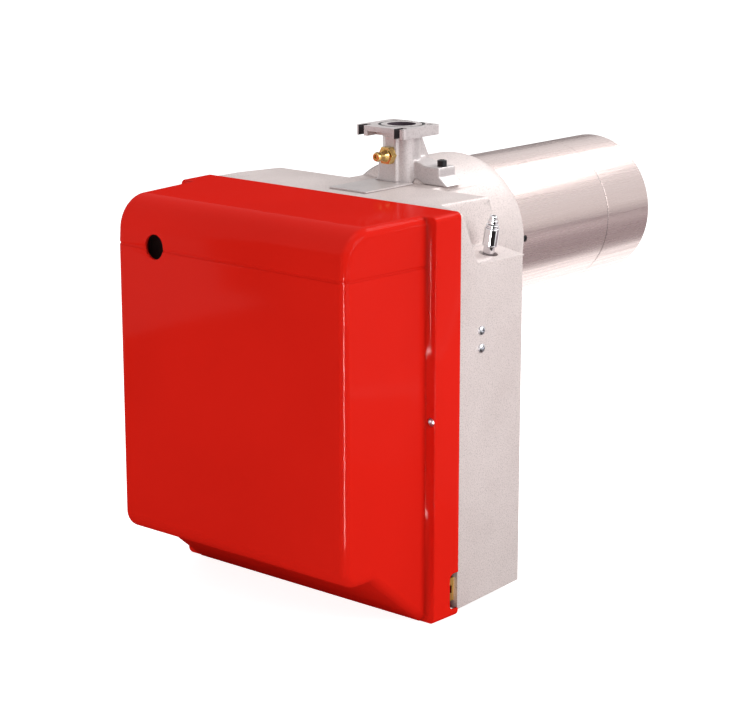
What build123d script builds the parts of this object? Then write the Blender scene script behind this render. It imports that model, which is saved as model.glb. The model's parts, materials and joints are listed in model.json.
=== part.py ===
from build123d import *
from math import cos, radians, sin, sqrt, tan
import os

# Blast tube, on the Y axis, with its front end at y = 0
tube_od = 137.0
tube_wall = 1.5
tube_length = 205.0
end_piece_length = 69.0
mouth_radius = 56.0
mouth_lip = 2.0
mouth_cone_length = 34.0
spigot_length = 14.0
running_gap = 0.05
seat_gap = 0.3

# How far a cut runs past the face that it opens
past = 1.0

# Fan housing casting
housing_width = 298.0
housing_depth = 87.5
neck_length = 102.0
housing_foot = 289.0
foot_rise = 5.0
shelf_height = 11.7
shelf_slope = 9.0
housing_top = 58.0
casting_wall = 5.5
casting_edge = 3.0
pocket_wall = 9.0
neck_radius = 76.0
neck_wall = 6.0
neck_end_radius = 70.5
neck_shoulder = 14.0
neck_hollow = 20.0
neck_taper = 20.0
neck_round = 38.0
fairing_top = 42.0
fairing_foot = 36.0
fairing_lean = 20.0
shelf_width = 30.0
left_draft = 11.0

# Front cover
cover_overhang = 1.0
cover_wall = 2.5
cover_gap = 0.3
rim_depth = 32.5
rim_drop = 5.0
rim_corner = 5.0
rim_edge = 1.2
hood_depth = 95.3
rim_step = 10.8
hood_flare = 5.9
hood_edge = 8.0
hood_bottom_edge = 17.0
hood_top_edge = 30.0
hood_top_rise = 2.5
hood_lean = 3.0
hood_bottom = 243.7
crease_height = 17.6
crease_depth = 0.7
chin_run = 34.0
reset_hole_d = 22.0
reset_inset = 63.0
reset_z = 19.2
cover_screw_z = -115.0
cover_screw_d = 4.0
cover_screw_head_d = 7.6
notch_top = 254.0
notch_bottom = 287.0
notch_depth = 11.0

# Fan, motor and scroll
fan_x = 12.0
fan_z = -152.0
wheel_d = 160.0
wheel_width = 62.0
wheel_ring = 3.0
blade_count = 36
blade_chord = 19.0
blade_thickness = 1.2
tongue_gap = 8.0
tongue_angle = 55.0
scroll_growth = 0.165
shaft_d = 12.0
hub_d = 30.0
motor_d = 116.0
motor_length = 88.0
rotor_d = 62.0
rotor_length = 60.0
plate_thickness = 4.0
plate_overlap = 12.0
plate_screw_d = 6.0
wheel_clearance = 4.0

# Air intake and damper
inlet_radius = 54.0
air_box_inset = 5.0
air_box_taper = 44.0
air_box_depth = 46.0
air_box_shoulder = 3.0
air_box_top = -82.0
air_box_bottom = -281.0
air_box_wall = 3.0
grille_height = 56.0
grille_bars = 6
damper_shaft_d = 6.0
damper_shaft_z = -94.0
damper_width = 116.0
damper_thickness = 1.5
arm_thickness = 6.0
arm_width = 7.0

# Damper adjuster on the shelf
adjuster_y = -130.0
adjuster_inset = 17.0
adjuster_hole_d = 16.5
stem_d = 10.0
stem_length = 7.0
sleeve_d = 13.0
sleeve_length = 16.0
ring_d = 11.0
ring_length = 3.0
cap_d = 6.8
cap_length = 7.5
flare_d = 8.6
plunger_d = 7.0
spindle_d = 5.0
spindle_reach = 30.0

# Gas elbow and combustion head
flange_top = 110.0
flange_thickness = 9.0
flange_width = 56.6
flange_front = 31.0
flange_back = 21.0
flange_bolt_spacing = 42.0
flange_bolt_d = 6.6
flange_bolt_back = 14.0
gas_bore_d = 26.0
seal_outer_d = 43.0
seal_section = 3.0
elbow_y = -91.0
elbow_pipe_d = 34.0
head_travel = 20.0
saddle_thickness = 4.0
saddle_left = 24.0
saddle_right = 55.0
saddle_lead = 2.0
saddle_length = 24.0
lug_top = 74.5
lug_thickness = 7.3
lug_reach = 45.4
lug_screw_d = 6.0
pad_half = 7.0
pad_lead = 1.0
foot_left = 12.6
foot_flare = 6.3
foot_height = 18.0
foot_depth = 11.0
slot_plate = 1.5
slot_plate_half = 22.0
slot_plate_length = 64.0
gas_pipe_d = 22.0
gas_pipe_wall = 1.5
gas_pipe_end = 150.0
nozzle_d = 34.0
nozzle_length = 22.0
diffuser_d = 104.0
diffuser_slots = 12
electrode_d = 8.0
electrode_tip_d = 2.4
electrode_offset = 26.0
nipple_x = 1.5
nipple_z = 84.0
nipple_flats = 15.0
nipple_hex_length = 6.5
nipple_tip_d = 9.0
nipple_tip_length = 12.5
nipple_stem_d = 5.2
nipple_screw_d = 3.8

# Controls under the cover
control_width = 90.0
control_height = 112.0
control_base_depth = 20.0
control_box_depth = 75.0
button_d = 16.0
button_length = 14.0
button_travel = 3.5
button_gap = 0.25
switch_inset = 51.0
switch_z = 8.0
switch_d = 62.0
switch_depth = 46.0
dial_d = 34.0
dial_depth = 7.0
dial_pin_d = 6.0
capacitor_d = 34.0
capacitor_length = 62.0
capacitor_inset = 45.0
capacitor_z = -72.0
socket_width = 58.0
socket_height = 32.0
socket_depth = 34.0
socket_inset = 61.0
socket_z = -261.0
catch_thickness = 1.5
small_screw_d = 5.0
tube_screw_d = 3.0
tube_screw_head_d = 6.0
tube_screw_y = 4.5

housing_half = housing_width / 2
housing_rear = -neck_length
housing_front = housing_rear - housing_depth
wall_inner = housing_front + casting_wall
scroll_rear = housing_rear - casting_wall - 0.5
cover_half = housing_half + cover_overhang
hood_step_half = cover_half - rim_step
hood_front_half = hood_step_half - hood_flare
cover_rear = housing_front - cover_gap
rim_front = cover_rear - rim_depth
hood_front = rim_front - hood_depth
cover_top = housing_top + hood_top_rise
cover_foot = -housing_foot - rim_drop
tube_radius = tube_od / 2
spigot_radius = tube_radius - tube_wall - running_gap
seam_y = tube_length - end_piece_length
wheel_radius = wheel_d / 2
wheel_rear = scroll_rear - 2 * wheel_clearance
wheel_front = wheel_rear - wheel_width
plate_opening = wheel_radius + wheel_clearance
plate_radius = plate_opening + plate_overlap
plate_front = housing_front - plate_thickness
motor_front = plate_front - motor_length
damper_shaft_y = housing_rear + damper_shaft_d + 0.5
wall_inner_x = housing_half - casting_wall
reset_x = reset_inset - housing_half
air_box_half = housing_half - air_box_inset
air_box_rear_half = air_box_half - air_box_taper
switch_x = housing_half - switch_inset
capacitor_x = housing_half - capacitor_inset
socket_x = housing_half - socket_inset
elbow_radius = elbow_pipe_d / 2
flange_bottom = flange_top - flange_thickness
neck_front = housing_rear + neck_shoulder
neck_bore = neck_radius - neck_wall
adjuster_x = housing_half - adjuster_inset
adjuster_z = shelf_height + adjuster_inset * tan(radians(shelf_slope))
adjuster_wall = casting_wall + 0.5
pocket_floor = damper_shaft_z - 18.0
saddle_front = elbow_y - saddle_lead
pad_front = elbow_y - elbow_radius - pad_lead
slot_plate_top = housing_top + seat_gap + slot_plate


def block(x0, x1, y0, y1, z0, z1):
    middle = Pos((x0 + x1) / 2, (y0 + y1) / 2, (z0 + z1) / 2)
    return middle * Box(abs(x1 - x0), abs(y1 - y0), abs(z1 - z0))


def rod_y(radius, y0, y1, x=0.0, z=0.0):
    return Pos(x, (y0 + y1) / 2, z) * Rot(90, 0, 0) * Cylinder(radius, abs(y1 - y0))


def rod_z(radius, z0, z1, x=0.0, y=0.0):
    return Pos(x, y, (z0 + z1) / 2) * Cylinder(radius, abs(z1 - z0))


def rod_x(radius, x0, x1, y=0.0, z=0.0):
    return Pos((x0 + x1) / 2, y, z) * Rot(0, 90, 0) * Cylinder(radius, abs(x1 - x0))


def slab_xz(sketch, y0, y1):
    return extrude(Plane.XZ.offset(-y1) * sketch, y1 - y0)


def slab_yz(sketch, x0, x1):
    return extrude(Plane.YZ.offset(x0) * sketch, x1 - x0)


def slab_xy(sketch, z0, z1):
    return extrude(Plane.XY.offset(z0) * sketch, z1 - z0)


def outline(points):
    return make_face(Polyline(*points, close=True))


def turned(points):
    return revolve(make_face(Polyline(*points, close=True)), Axis.Y)


def on_adjuster(shape):
    return Pos(adjuster_x, adjuster_y, adjuster_z) * Rot(0, shelf_slope, 0) * shape


def shelf_z_at(x):
    return shelf_height + (housing_half - x) * tan(radians(shelf_slope))


def hexagon(across_flats):
    return RegularPolygon(across_flats / 2, 6, major_radius=False)


def housing_upper():
    inner_foot = housing_half - shelf_width
    inner_top = housing_half - fairing_top
    lean = housing_front + fairing_lean
    foot = [
        (-housing_half, housing_front),
        (housing_half, housing_front),
        (housing_half, lean + casting_wall - 2.0),
        (housing_half - fairing_foot, lean + fairing_foot + casting_wall - 2.0),
        (inner_foot + 2.0, housing_rear),
        (-housing_half, housing_rear),
        (-housing_half, housing_front + 2 * fairing_lean),
    ]
    top = [
        (-housing_half, housing_front),
        (housing_half, housing_front),
        (housing_half, housing_front + casting_edge),
        (inner_top, lean + casting_edge + 3.0),
        (inner_top + 4.0, housing_rear - 2.0),
        (-housing_half + left_draft, housing_rear - 2.0),
        (-housing_half, housing_front + 2 * fairing_lean),
    ]
    lower = Plane.XY.offset(shelf_height) * outline(foot)
    upper = Plane.XY.offset(housing_top) * outline(top)
    return loft([lower, upper], ruled=True)


def housing_outer():
    side = outline([
        (housing_front, -housing_foot),
        (housing_rear, -housing_foot + foot_rise),
        (housing_rear, shelf_height),
        (housing_front, shelf_height),
    ])
    body = slab_yz(side, -housing_half, housing_half)
    shelf_inner = housing_half - 2 * shelf_width
    wedge = outline([
        (shelf_inner, shelf_height - past),
        (housing_half, shelf_height - past),
        (housing_half, shelf_height),
        (shelf_inner, shelf_z_at(shelf_inner)),
    ])
    rim = body.edges().filter_by(Axis.Z) + body.edges().group_by(Axis.Z)[0]
    rim = [edge for edge in rim if edge.center().Y > housing_front + past]
    body = fillet(rim, casting_edge)
    upper = housing_upper()
    top_edges = upper.faces().sort_by(Axis.Z)[-1].edges()
    top_edges = [edge for edge in top_edges if edge.center().Y > housing_front + past]
    upper = fillet(top_edges, casting_edge)
    shelf = slab_xz(wedge, housing_front + fairing_lean, housing_rear)
    return body + upper + shelf


def neck_hollow_cut(grow):
    foot_radius = housing_top - past + grow
    rim_radius = foot_radius + neck_hollow
    outer_radius = rim_radius + neck_hollow
    rear = neck_front - grow
    foot = rear - neck_hollow
    hollow = RadiusArc((foot_radius, foot), (rim_radius, rear), neck_hollow)
    rest = Polyline((rim_radius, rear), (outer_radius, rear), (outer_radius, foot), (foot_radius, foot))
    ring = revolve(make_face(hollow + rest), Axis.Y)
    return ring & block(-outer_radius, outer_radius, foot - past, rear + past, housing_top + grow,
                        outer_radius)


def neck_form(grow):
    start = housing_rear - casting_edge - past
    barrel_radius = neck_radius + grow
    end_radius = neck_end_radius + grow
    barrel = Polyline((0, 0), (0, start), (barrel_radius, start), (barrel_radius, -neck_taper))
    taper = RadiusArc((barrel_radius, -neck_taper), (end_radius, 0), -neck_round)
    form = revolve(make_face(barrel + taper + Line((end_radius, 0), (0, 0))), Axis.Y)
    return form - neck_hollow_cut(grow)


def neck_outer():
    return neck_form(0.0) + rod_y(spigot_radius, -past, spigot_length)


def scroll_face(grow):
    points = []
    steps = 12
    sweep = tongue_angle + 180.0
    for i in range(steps + 1):
        turned_by = sweep * i / steps
        angle = radians(tongue_angle - turned_by)
        radius = wheel_radius + tongue_gap + grow + scroll_growth * turned_by
        points.append((fan_x + radius * cos(angle), fan_z + radius * sin(angle)))
    left = points[-1][0]
    duct_left = -housing_half + left_draft + casting_wall + 2.0 - grow
    duct_right = housing_half - fairing_top - neck_wall - 3.0 + grow
    duct_floor = -housing_top / 2 - grow
    duct_roof = housing_top - casting_wall + grow
    walls = Polyline(points[-1], (left, duct_floor - casting_wall * 3), (duct_left, duct_floor),
                     (duct_left, duct_roof), (duct_right, duct_roof), (duct_right, duct_floor),
                     (points[0][0], duct_floor - casting_wall * 3), points[0])
    return make_face(Spline(*points) + walls)


def neck_passage():
    narrow = neck_bore - 20.0
    end_bore = spigot_radius - neck_wall + past
    return turned([
        (0, scroll_rear - past), (narrow, scroll_rear - past), (narrow, housing_rear + 2.0),
        (neck_bore, neck_front + 6.0), (neck_bore, -neck_taper), (end_bore, -4.0),
        (end_bore, spigot_length + past), (0, spigot_length + past),
    ])


def adjuster_pocket():
    inner = duct_side() + neck_wall
    roof_drop = adjuster_wall / cos(radians(shelf_slope))
    floor = pocket_floor
    room = outline([
        (inner, floor), (wall_inner_x, floor),
        (wall_inner_x, shelf_z_at(wall_inner_x) - roof_drop),
        (inner, shelf_z_at(inner) - roof_drop),
    ])
    return slab_xz(room, wall_inner, scroll_rear)


def rear_pockets():
    half = housing_half - pocket_wall
    room = block(-half, half, wall_inner, housing_rear + past, pocket_wall - housing_foot + foot_rise,
                 air_box_top - pocket_wall)
    room -= slab_xz(scroll_face(casting_wall), wall_inner - past, housing_rear + 2.0)
    inner = duct_side() + neck_wall - casting_wall
    return room - block(inner, housing_half, wall_inner - past, housing_rear + 2.0,
                        pocket_floor - casting_wall, 0.0)


def duct_side():
    return housing_half - fairing_top - neck_wall - 3.0


def arm_x():
    drop = adjuster_z - (damper_shaft_z + arm_thickness / 2)
    return adjuster_x - drop * tan(radians(shelf_slope))


def damper_lugs():
    left = fan_x - damper_width / 2
    right = fan_x + damper_width / 2
    end = arm_x() - arm_width / 2
    lugs = []
    for x0 in (left - 6.5, right + 0.5, end - 6.5):
        lug = block(x0, x0 + 6.0, housing_rear - past, damper_shaft_y + damper_shaft_d - past,
                    damper_shaft_z - damper_shaft_d + past, damper_shaft_z + damper_shaft_d - past)
        lugs.append(lug - rod_x(damper_shaft_d / 2 + running_gap, x0 - past, x0 + 7.0,
                                damper_shaft_y, damper_shaft_z))
    return lugs


def head_slot():
    rear = elbow_y
    front = elbow_y - head_travel
    half = elbow_radius + 0.6
    return (block(-half, half, front, rear, -past, 90.0) + rod_z(half, -past, 90.0, 0, front)
            + rod_z(half, -past, 90.0, 0, rear))


def screw_ring(count, pitch_radius, start):
    ring = []
    for i in range(count):
        angle = radians(start + 360.0 * i / count)
        ring.append((pitch_radius * cos(angle), pitch_radius * sin(angle)))
    return ring


def plate_screw_points():
    ring = screw_ring(4, plate_opening + plate_overlap / 2, 40.0)
    return [(fan_x + x, fan_z + z) for x, z in ring]


def fan_housing():
    body = housing_outer() + neck_outer()
    body -= slab_xz(scroll_face(0.0), wall_inner, scroll_rear)
    body -= rod_y(plate_opening, housing_front - past, wall_inner + past, fan_x, fan_z)
    body -= rod_y(inlet_radius, scroll_rear - past, housing_rear + past, fan_x, fan_z)
    body -= neck_passage()
    body -= adjuster_pocket()
    body -= rear_pockets()
    body -= head_slot()
    hole = adjuster_hole_d / 2
    body -= on_adjuster(Cylinder(hole, 3 * adjuster_wall))
    for lug in damper_lugs():
        body += lug
    slot_x = arm_x()
    gap = arm_width / 2 + 0.8
    body -= block(slot_x - gap, slot_x + gap, scroll_rear - past, housing_rear + past,
                  damper_shaft_z - arm_thickness - 5.0, damper_shaft_z + arm_thickness)
    for side in (-1, 1):
        body -= rod_y(cover_screw_d / 2 + running_gap, housing_front - past, wall_inner + past,
                      side * cover_screw_x(), cover_screw_z)
    for y, z in side_screw_points():
        body -= rod_x(small_screw_d / 2, wall_inner_x - past, housing_half + past, y, z)
    for x, z in plate_screw_points():
        body -= rod_y(plate_screw_d / 2, housing_front - past, wall_inner + past, x, z)
    for hole in neck_screw_holes(tube_screw_d / 2):
        body -= hole
    return body


def cover_screw_x():
    return (cover_half + hood_step_half) / 2


def side_screw_points():
    first = housing_front + fairing_lean + small_screw_d + 4.0
    return [(first, -45.5), (first, -61.0)]


def neck_screw_angles():
    return [0.0, 120.0, 240.0]


def cover_side_profile(inset):
    top_rear = cover_top - inset
    top_front = cover_top - hood_top_rise - inset
    front = hood_front + inset
    bottom = -hood_bottom + inset
    foot = cover_foot + inset
    chin = hood_front + chin_run + inset / 2
    profile = outline([
        (cover_rear, top_rear), (front + hood_lean, top_front), (front, crease_height),
        (front, bottom), (chin, bottom), (rim_front + inset / 2, foot), (cover_rear, foot),
    ])
    top_corner = profile.vertices().sort_by_distance((front + hood_lean, top_front, 0))[0]
    profile = fillet(top_corner, hood_top_edge - inset)
    low_corner = profile.vertices().sort_by_distance((front, bottom, 0))[0]
    return fillet(low_corner, hood_bottom_edge - inset)


def hood_form(inset):
    flare = (hood_step_half - hood_front_half) / hood_depth
    rear_half = hood_step_half + flare * rim_depth - inset
    front_half = hood_front_half - inset
    front = hood_front + inset
    plan = outline([(-front_half, front), (front_half, front),
                    (rear_half, cover_rear), (-rear_half, cover_rear)])
    form = slab_yz(cover_side_profile(inset), -cover_half, cover_half)
    form &= slab_xy(plan, cover_foot - past, cover_top + past)
    chain = []
    for face in form.faces():
        if abs(face.normal_at().X) > 0.9:
            chain += [edge for edge in face.outer_wire().edges()
                      if edge.center().Y < cover_rear - past and edge.center().Z > cover_foot + 3.0]
    return fillet(chain, hood_edge - inset)


def rim_form(inset):
    half = cover_half - inset
    front = rim_front + inset
    slope = hood_top_rise / (rim_depth + hood_depth)
    side = outline([
        (front, cover_foot + inset), (cover_rear, cover_foot + inset),
        (cover_rear, cover_top - inset), (front, cover_top - inset - slope * rim_depth),
    ])
    form = slab_yz(side, -half, half)
    along = [edge for edge in form.edges() if abs((edge @ 1 - edge @ 0).Y) > rim_depth / 2]
    top = [edge for edge in along if edge.center().Z > 0]
    foot = [edge for edge in along if edge.center().Z < 0]
    form = fillet(top, max(rim_corner - inset, 1.0))
    foot = [edge for edge in form.edges() if edge.center().Z < cover_foot + inset + 0.1
            and abs((edge @ 1 - edge @ 0).Y) > rim_depth / 2]
    form = fillet(foot, max(rim_corner - inset, 1.0))
    lead = [edge for edge in form.edges() if edge.center().Y < rim_front + inset + 0.5]
    return fillet(lead, rim_edge) if inset == 0.0 else form


def crease_groove():
    reach = hood_step_half + 5.0
    width = 4 * crease_depth
    ring = block(-reach, reach, hood_front - 5.0, rim_front, crease_height - width / 2,
                 crease_height + width / 2)
    keep_front = hood_front + crease_depth
    flare = (hood_step_half - hood_front_half) / hood_depth
    inner = hood_front_half - crease_depth
    core = outline([(-inner, keep_front), (inner, keep_front),
                    (inner + flare * hood_depth, rim_front + past),
                    (-inner - flare * hood_depth, rim_front + past)])
    edges = core.vertices().group_by(Axis.Y)[0]
    core = fillet(edges, hood_edge - crease_depth)
    return ring - slab_xy(core, crease_height - width, crease_height + width)


def notch_form():
    radius = (notch_bottom - notch_top) / 6
    front = cover_rear - notch_depth
    room = block(hood_step_half + cover_wall, cover_half + past, front, cover_rear + past,
                 -notch_bottom, -notch_top)
    corners = [edge for edge in room.edges() if edge.center().Y < front + 0.1
               and abs((edge @ 1 - edge @ 0).X) > 1.0]
    return fillet(corners, radius)


def front_cover():
    shell = hood_form(0.0) + rim_form(0.0)
    inner = hood_form(cover_wall) + rim_form(cover_wall)
    mouth = rim_form(cover_wall)
    shell -= inner
    shell -= Pos(0, 1.0, 0) * mouth
    shell -= crease_groove()
    shell -= rod_y(reset_hole_d / 2, hood_front - past, hood_front + 2 * cover_wall, reset_x, reset_z)
    shell -= notch_form()
    boss = cover_screw_head_d / 2 + 1.2
    for side in (-1, 1):
        x = side * cover_screw_x()
        shell += rod_y(boss, rim_front + past, cover_rear, x, cover_screw_z) & rim_form(0.0)
        shell -= rod_y(cover_screw_d / 2 + 0.1, rim_front - past, cover_rear + past, x, cover_screw_z)
        shell -= rod_y(cover_screw_head_d / 2 + 0.4, rim_front - past, rim_front + 3.5, x, cover_screw_z)
    return shell


def pan_screw(head_d, head_length, shank_d, shank_length):
    head = Cylinder(head_d / 2, head_length)
    head = fillet(head.edges().sort_by(Axis.Z)[-1], head_length / 3)
    recess = Box(head_d * 0.6, head_d * 0.14, head_length) + Box(head_d * 0.14, head_d * 0.6, head_length)
    head -= Pos(0, 0, head_length * 0.6) * recess
    shank = Pos(0, 0, -(head_length + shank_length) / 2) * Cylinder(shank_d / 2, shank_length)
    return Pos(0, 0, head_length / 2) * (head + shank)


def cap_screw(head_d, head_length, shank_d, shank_length):
    head = Cylinder(head_d / 2, head_length)
    socket = extrude(hexagon(head_d * 0.55), head_length)
    shank = Pos(0, 0, -(head_length + shank_length) / 2) * Cylinder(shank_d / 2, shank_length)
    return Pos(0, 0, head_length / 2) * (head - socket + shank)


def face_front(shape, x, y, z):
    return Pos(x, y, z) * Rot(90, 0, 0) * shape


def face_right(shape, x, y, z):
    return Pos(x, y, z) * Rot(0, 90, 0) * shape


def face_rear(shape, x, y, z):
    return Pos(x, y, z) * Rot(-90, 0, 0) * shape


def cover_screws():
    length = cover_rear - rim_front + casting_wall
    group = []
    for side in (-1, 1):
        screw = pan_screw(cover_screw_head_d, 2.8, cover_screw_d, length - 3.5)
        group.append(face_front(screw, side * cover_screw_x(), rim_front + 3.5, cover_screw_z))
    return group


def side_screws():
    group = []
    for (y, z), head_d in zip(side_screw_points(), (8.0, 7.0)):
        screw = pan_screw(head_d, 2.6, small_screw_d - 0.2, casting_wall + 2.0)
        group.append(face_right(screw, housing_half, y, z))
    return group


def blast_tube():
    tube = rod_y(tube_radius, 0, seam_y) - rod_y(tube_radius - tube_wall, -past, seam_y + past)
    for hole in neck_screw_holes(tube_screw_head_d / 2 + running_gap):
        tube -= hole
    return tube


def neck_screw_holes(radius):
    holes = []
    for angle in neck_screw_angles():
        drill = rod_x(radius, tube_radius - neck_wall, tube_radius + past, tube_screw_y, 0.0)
        holes.append(Rot(0, -angle, 0) * drill)
    return holes


def tube_screws():
    group = []
    for angle in neck_screw_angles():
        screw = pan_screw(tube_screw_head_d, tube_wall - 0.1, tube_screw_d, 4.0)
        seat = tube_radius - tube_wall
        group.append(Rot(0, -angle, 0) * face_right(screw, seat, tube_screw_y, 0.0))
    return group


def tube_end():
    inner = tube_radius - tube_wall
    collar = inner - running_gap
    rear = tube_length
    cone = rear - mouth_cone_length
    return turned([
        (tube_radius, seam_y), (tube_radius, rear - mouth_lip),
        (tube_radius - mouth_lip, rear), (mouth_radius, rear),
        (mouth_radius, rear - mouth_lip), (inner - tube_wall, cone), (inner - tube_wall, seam_y - 12.0),
        (collar, seam_y - 12.0), (collar, seam_y),
    ])


def motor_plate():
    plate = rod_y(plate_radius, plate_front, housing_front, fan_x, fan_z)
    plate = fillet(plate.edges().sort_by(Axis.Y)[0], 1.0)
    plate -= rod_y(shaft_d / 2 + 2.0, plate_front - past, housing_front + past, fan_x, fan_z)
    for x, z in plate_screw_points():
        plate -= rod_y(plate_screw_d / 2 + 0.3, plate_front - past, housing_front + past, x, z)
    return plate


def plate_screws():
    group = []
    for x, z in plate_screw_points():
        screw = cap_screw(10.0, 6.0, plate_screw_d - 0.4, plate_thickness + casting_wall - past)
        group.append(face_front(screw, x, plate_front, z))
    return group


def motor_shield_depth():
    return 14.0


def motor_body():
    depth = motor_shield_depth()
    body = rod_y(motor_d / 2, motor_front + depth, plate_front, fan_x, fan_z)
    for i in range(24):
        angle = 15.0 * i
        groove = rod_y(2.2, motor_front + depth - past, plate_front - 14.0, motor_d / 2 + 0.8, 0)
        body -= Pos(fan_x, 0, fan_z) * Rot(0, -angle, 0) * groove
    rotor_front = motor_rotor_front()
    body -= rod_y(rotor_d / 2 + 0.5, motor_front + depth - past, rotor_front + rotor_length + 2.0,
                  fan_x, fan_z)
    body -= rod_y(shaft_d / 2 + running_gap, motor_front, plate_front + past, fan_x, fan_z)
    for x, z in screw_ring(4, motor_d / 2 - 7.0, 45.0):
        body -= rod_y(1.6, motor_front, motor_front + depth + 12.0, fan_x + x, fan_z + z)
    return body


def motor_rotor_front():
    return motor_front + motor_shield_depth() + 3.0


def motor_end_shield():
    depth = motor_shield_depth()
    shield = rod_y(motor_d / 2, motor_front, motor_front + depth, fan_x, fan_z)
    shield = fillet(shield.edges().sort_by(Axis.Y)[0], depth - 4.0)
    shield -= rod_y(shaft_d / 2 + running_gap, motor_front + 4.0, motor_front + depth + past,
                    fan_x, fan_z)
    ring = screw_ring(4, motor_d / 2 - 7.0, 45.0)
    for x, z in ring:
        shield -= rod_y(5.0, motor_front - past, motor_front + depth - 4.0, fan_x + x, fan_z + z)
        shield -= rod_y(1.6, motor_front, motor_front + depth + past, fan_x + x, fan_z + z)
    return shield


def motor_screws():
    group = []
    seat = motor_front + motor_shield_depth() - 4.0
    for x, z in screw_ring(4, motor_d / 2 - 7.0, 45.0):
        group.append(face_front(pan_screw(8.0, 3.0, 3.0, 12.0), fan_x + x, seat, fan_z + z))
    return group


def motor_shaft():
    front = motor_front + 4.5
    return rod_y(shaft_d / 2, front, wheel_rear - 3.0, fan_x, fan_z)


def motor_rotor():
    front = motor_rotor_front()
    rotor = rod_y(rotor_d / 2, front, front + rotor_length, fan_x, fan_z)
    return rotor - rod_y(shaft_d / 2, front - past, front + rotor_length + past, fan_x, fan_z)


def blade_section(inner_radius, outer_radius):
    lead = radians(24.0)
    start = (inner_radius, 0.0)
    end = (outer_radius * cos(lead / 2), outer_radius * sin(lead / 2))
    line = RadiusArc(start, end, blade_chord * 0.85)
    return make_face(offset(line, blade_thickness / 2).edges())


def fan_wheel():
    tip_radius = wheel_radius - wheel_ring
    root_radius = tip_radius - blade_chord + wheel_ring
    back = rod_y(wheel_radius, wheel_front, wheel_front + 2.0, fan_x, fan_z)
    hub = rod_y(hub_d / 2, wheel_front, wheel_front + 34.0, fan_x, fan_z)
    ring_rear = rod_y(wheel_radius, wheel_rear - 8.0, wheel_rear, fan_x, fan_z)
    ring_rear -= rod_y(wheel_radius - wheel_ring, wheel_rear - 9.0, wheel_rear + past, fan_x, fan_z)
    wheel = back + hub + ring_rear
    blade = slab_xz(blade_section(root_radius, tip_radius + 1.5), wheel_front + past, wheel_rear - past)
    blades = []
    for i in range(blade_count):
        blades.append(Pos(fan_x, 0, fan_z) * Rot(0, 360.0 * i / blade_count, 0) * blade)
    wheel = wheel + blades
    wheel -= rod_y(shaft_d / 2, wheel_front - past, wheel_front + 60.0, fan_x, fan_z)
    return wheel


def inlet_ring():
    throat = inlet_radius - 6.0
    lip = 5.0
    flange = housing_rear + 1.5
    points = [
        (throat, scroll_rear - 2.0), (inlet_radius - 0.3, scroll_rear - 2.0),
        (inlet_radius - 0.3, housing_rear), (inlet_radius + lip, housing_rear),
        (inlet_radius + lip, flange), (inlet_radius - past, flange),
        (throat + 2.0, flange - 4.0),
    ]
    return Pos(fan_x, 0, fan_z) * turned(points)


def air_box_plan(inset):
    rear = housing_rear + air_box_depth - inset
    shoulder = housing_rear + air_box_shoulder
    wide = air_box_half - inset
    narrow = air_box_rear_half - inset
    return outline([(-wide, housing_rear), (-wide, shoulder), (-narrow, rear),
                    (narrow, rear), (wide, shoulder), (wide, housing_rear)])


def grille_room():
    half = air_box_rear_half - 14.0
    low = air_box_bottom + 8.0
    return (-half, half, low, low + grille_height)


def air_box():
    box = slab_xy(air_box_plan(0.0), air_box_bottom, air_box_top)
    upright = [edge for edge in box.edges().filter_by(Axis.Z) if edge.center().Y > housing_rear + past]
    box = fillet(upright, 6.0)
    room = slab_xy(air_box_plan(air_box_wall), air_box_bottom + air_box_wall,
                   air_box_top - air_box_wall)
    box -= room
    x0, x1, z0, z1 = grille_room()
    rear = housing_rear + air_box_depth
    box -= block(x0, x1, rear - air_box_wall - past, rear + past, z0, z1)
    for x, z in air_box_screw_points():
        boss = rod_y(5.0, housing_rear, housing_rear + air_box_depth - past, x, z)
        box += boss
        box -= rod_y(2.2, housing_rear - past, rear + past, x, z)
    return box


def air_box_screw_points():
    across = air_box_rear_half - 8.0
    low = air_box_bottom + 9.0
    high = air_box_top - 36.0
    return [(-across, low), (across, low), (-across, high), (across, high)]


def air_box_screws():
    group = []
    rear = housing_rear + air_box_depth
    for x, z in air_box_screw_points():
        screw = pan_screw(9.0, 3.0, 4.0, air_box_depth - 4.0)
        group.append(face_rear(screw, x, rear, z))
    return group


def intake_grille():
    x0, x1, z0, z1 = grille_room()
    rear = housing_rear + air_box_depth
    gap = seat_gap
    frame = block(x0 + gap, x1 - gap, rear - 2.0 * air_box_wall, rear - 0.5, z0 + gap, z1 - gap)
    pitch = (z1 - z0 - 8.0) / grille_bars
    for i in range(grille_bars):
        low = z0 + 4.0 + pitch * i + 1.5
        for side in (-1, 1):
            outer = side * (x1 - 4.0)
            frame -= block(min(side * 3.0, outer), max(side * 3.0, outer),
                           rear - 3 * air_box_wall, rear + past, low, low + pitch - 3.0)
    return frame


def damper_flap():
    left = fan_x - damper_width / 2
    right = fan_x + damper_width / 2
    y0 = damper_shaft_y - damper_shaft_d / 2 - damper_thickness
    low = fan_z - inlet_radius - 4.0
    plate = block(left, right, y0, y0 + damper_thickness, low, damper_shaft_z - 1.5)
    corners = [edge for edge in plate.edges().filter_by(Axis.Y) if edge.center().Z < low + past]
    plate = fillet(corners, 12.0)
    rib = block(fan_x - 1.5, fan_x + 1.5, y0 + damper_thickness, y0 + damper_thickness + 4.0,
                low + 8.0, damper_shaft_z - 1.5)
    sleeve = rod_x(damper_shaft_d / 2 + 1.5, left, right, damper_shaft_y, damper_shaft_z)
    bore = rod_x(damper_shaft_d / 2, left - past, right + past, damper_shaft_y, damper_shaft_z)
    return plate + rib + sleeve - bore


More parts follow.
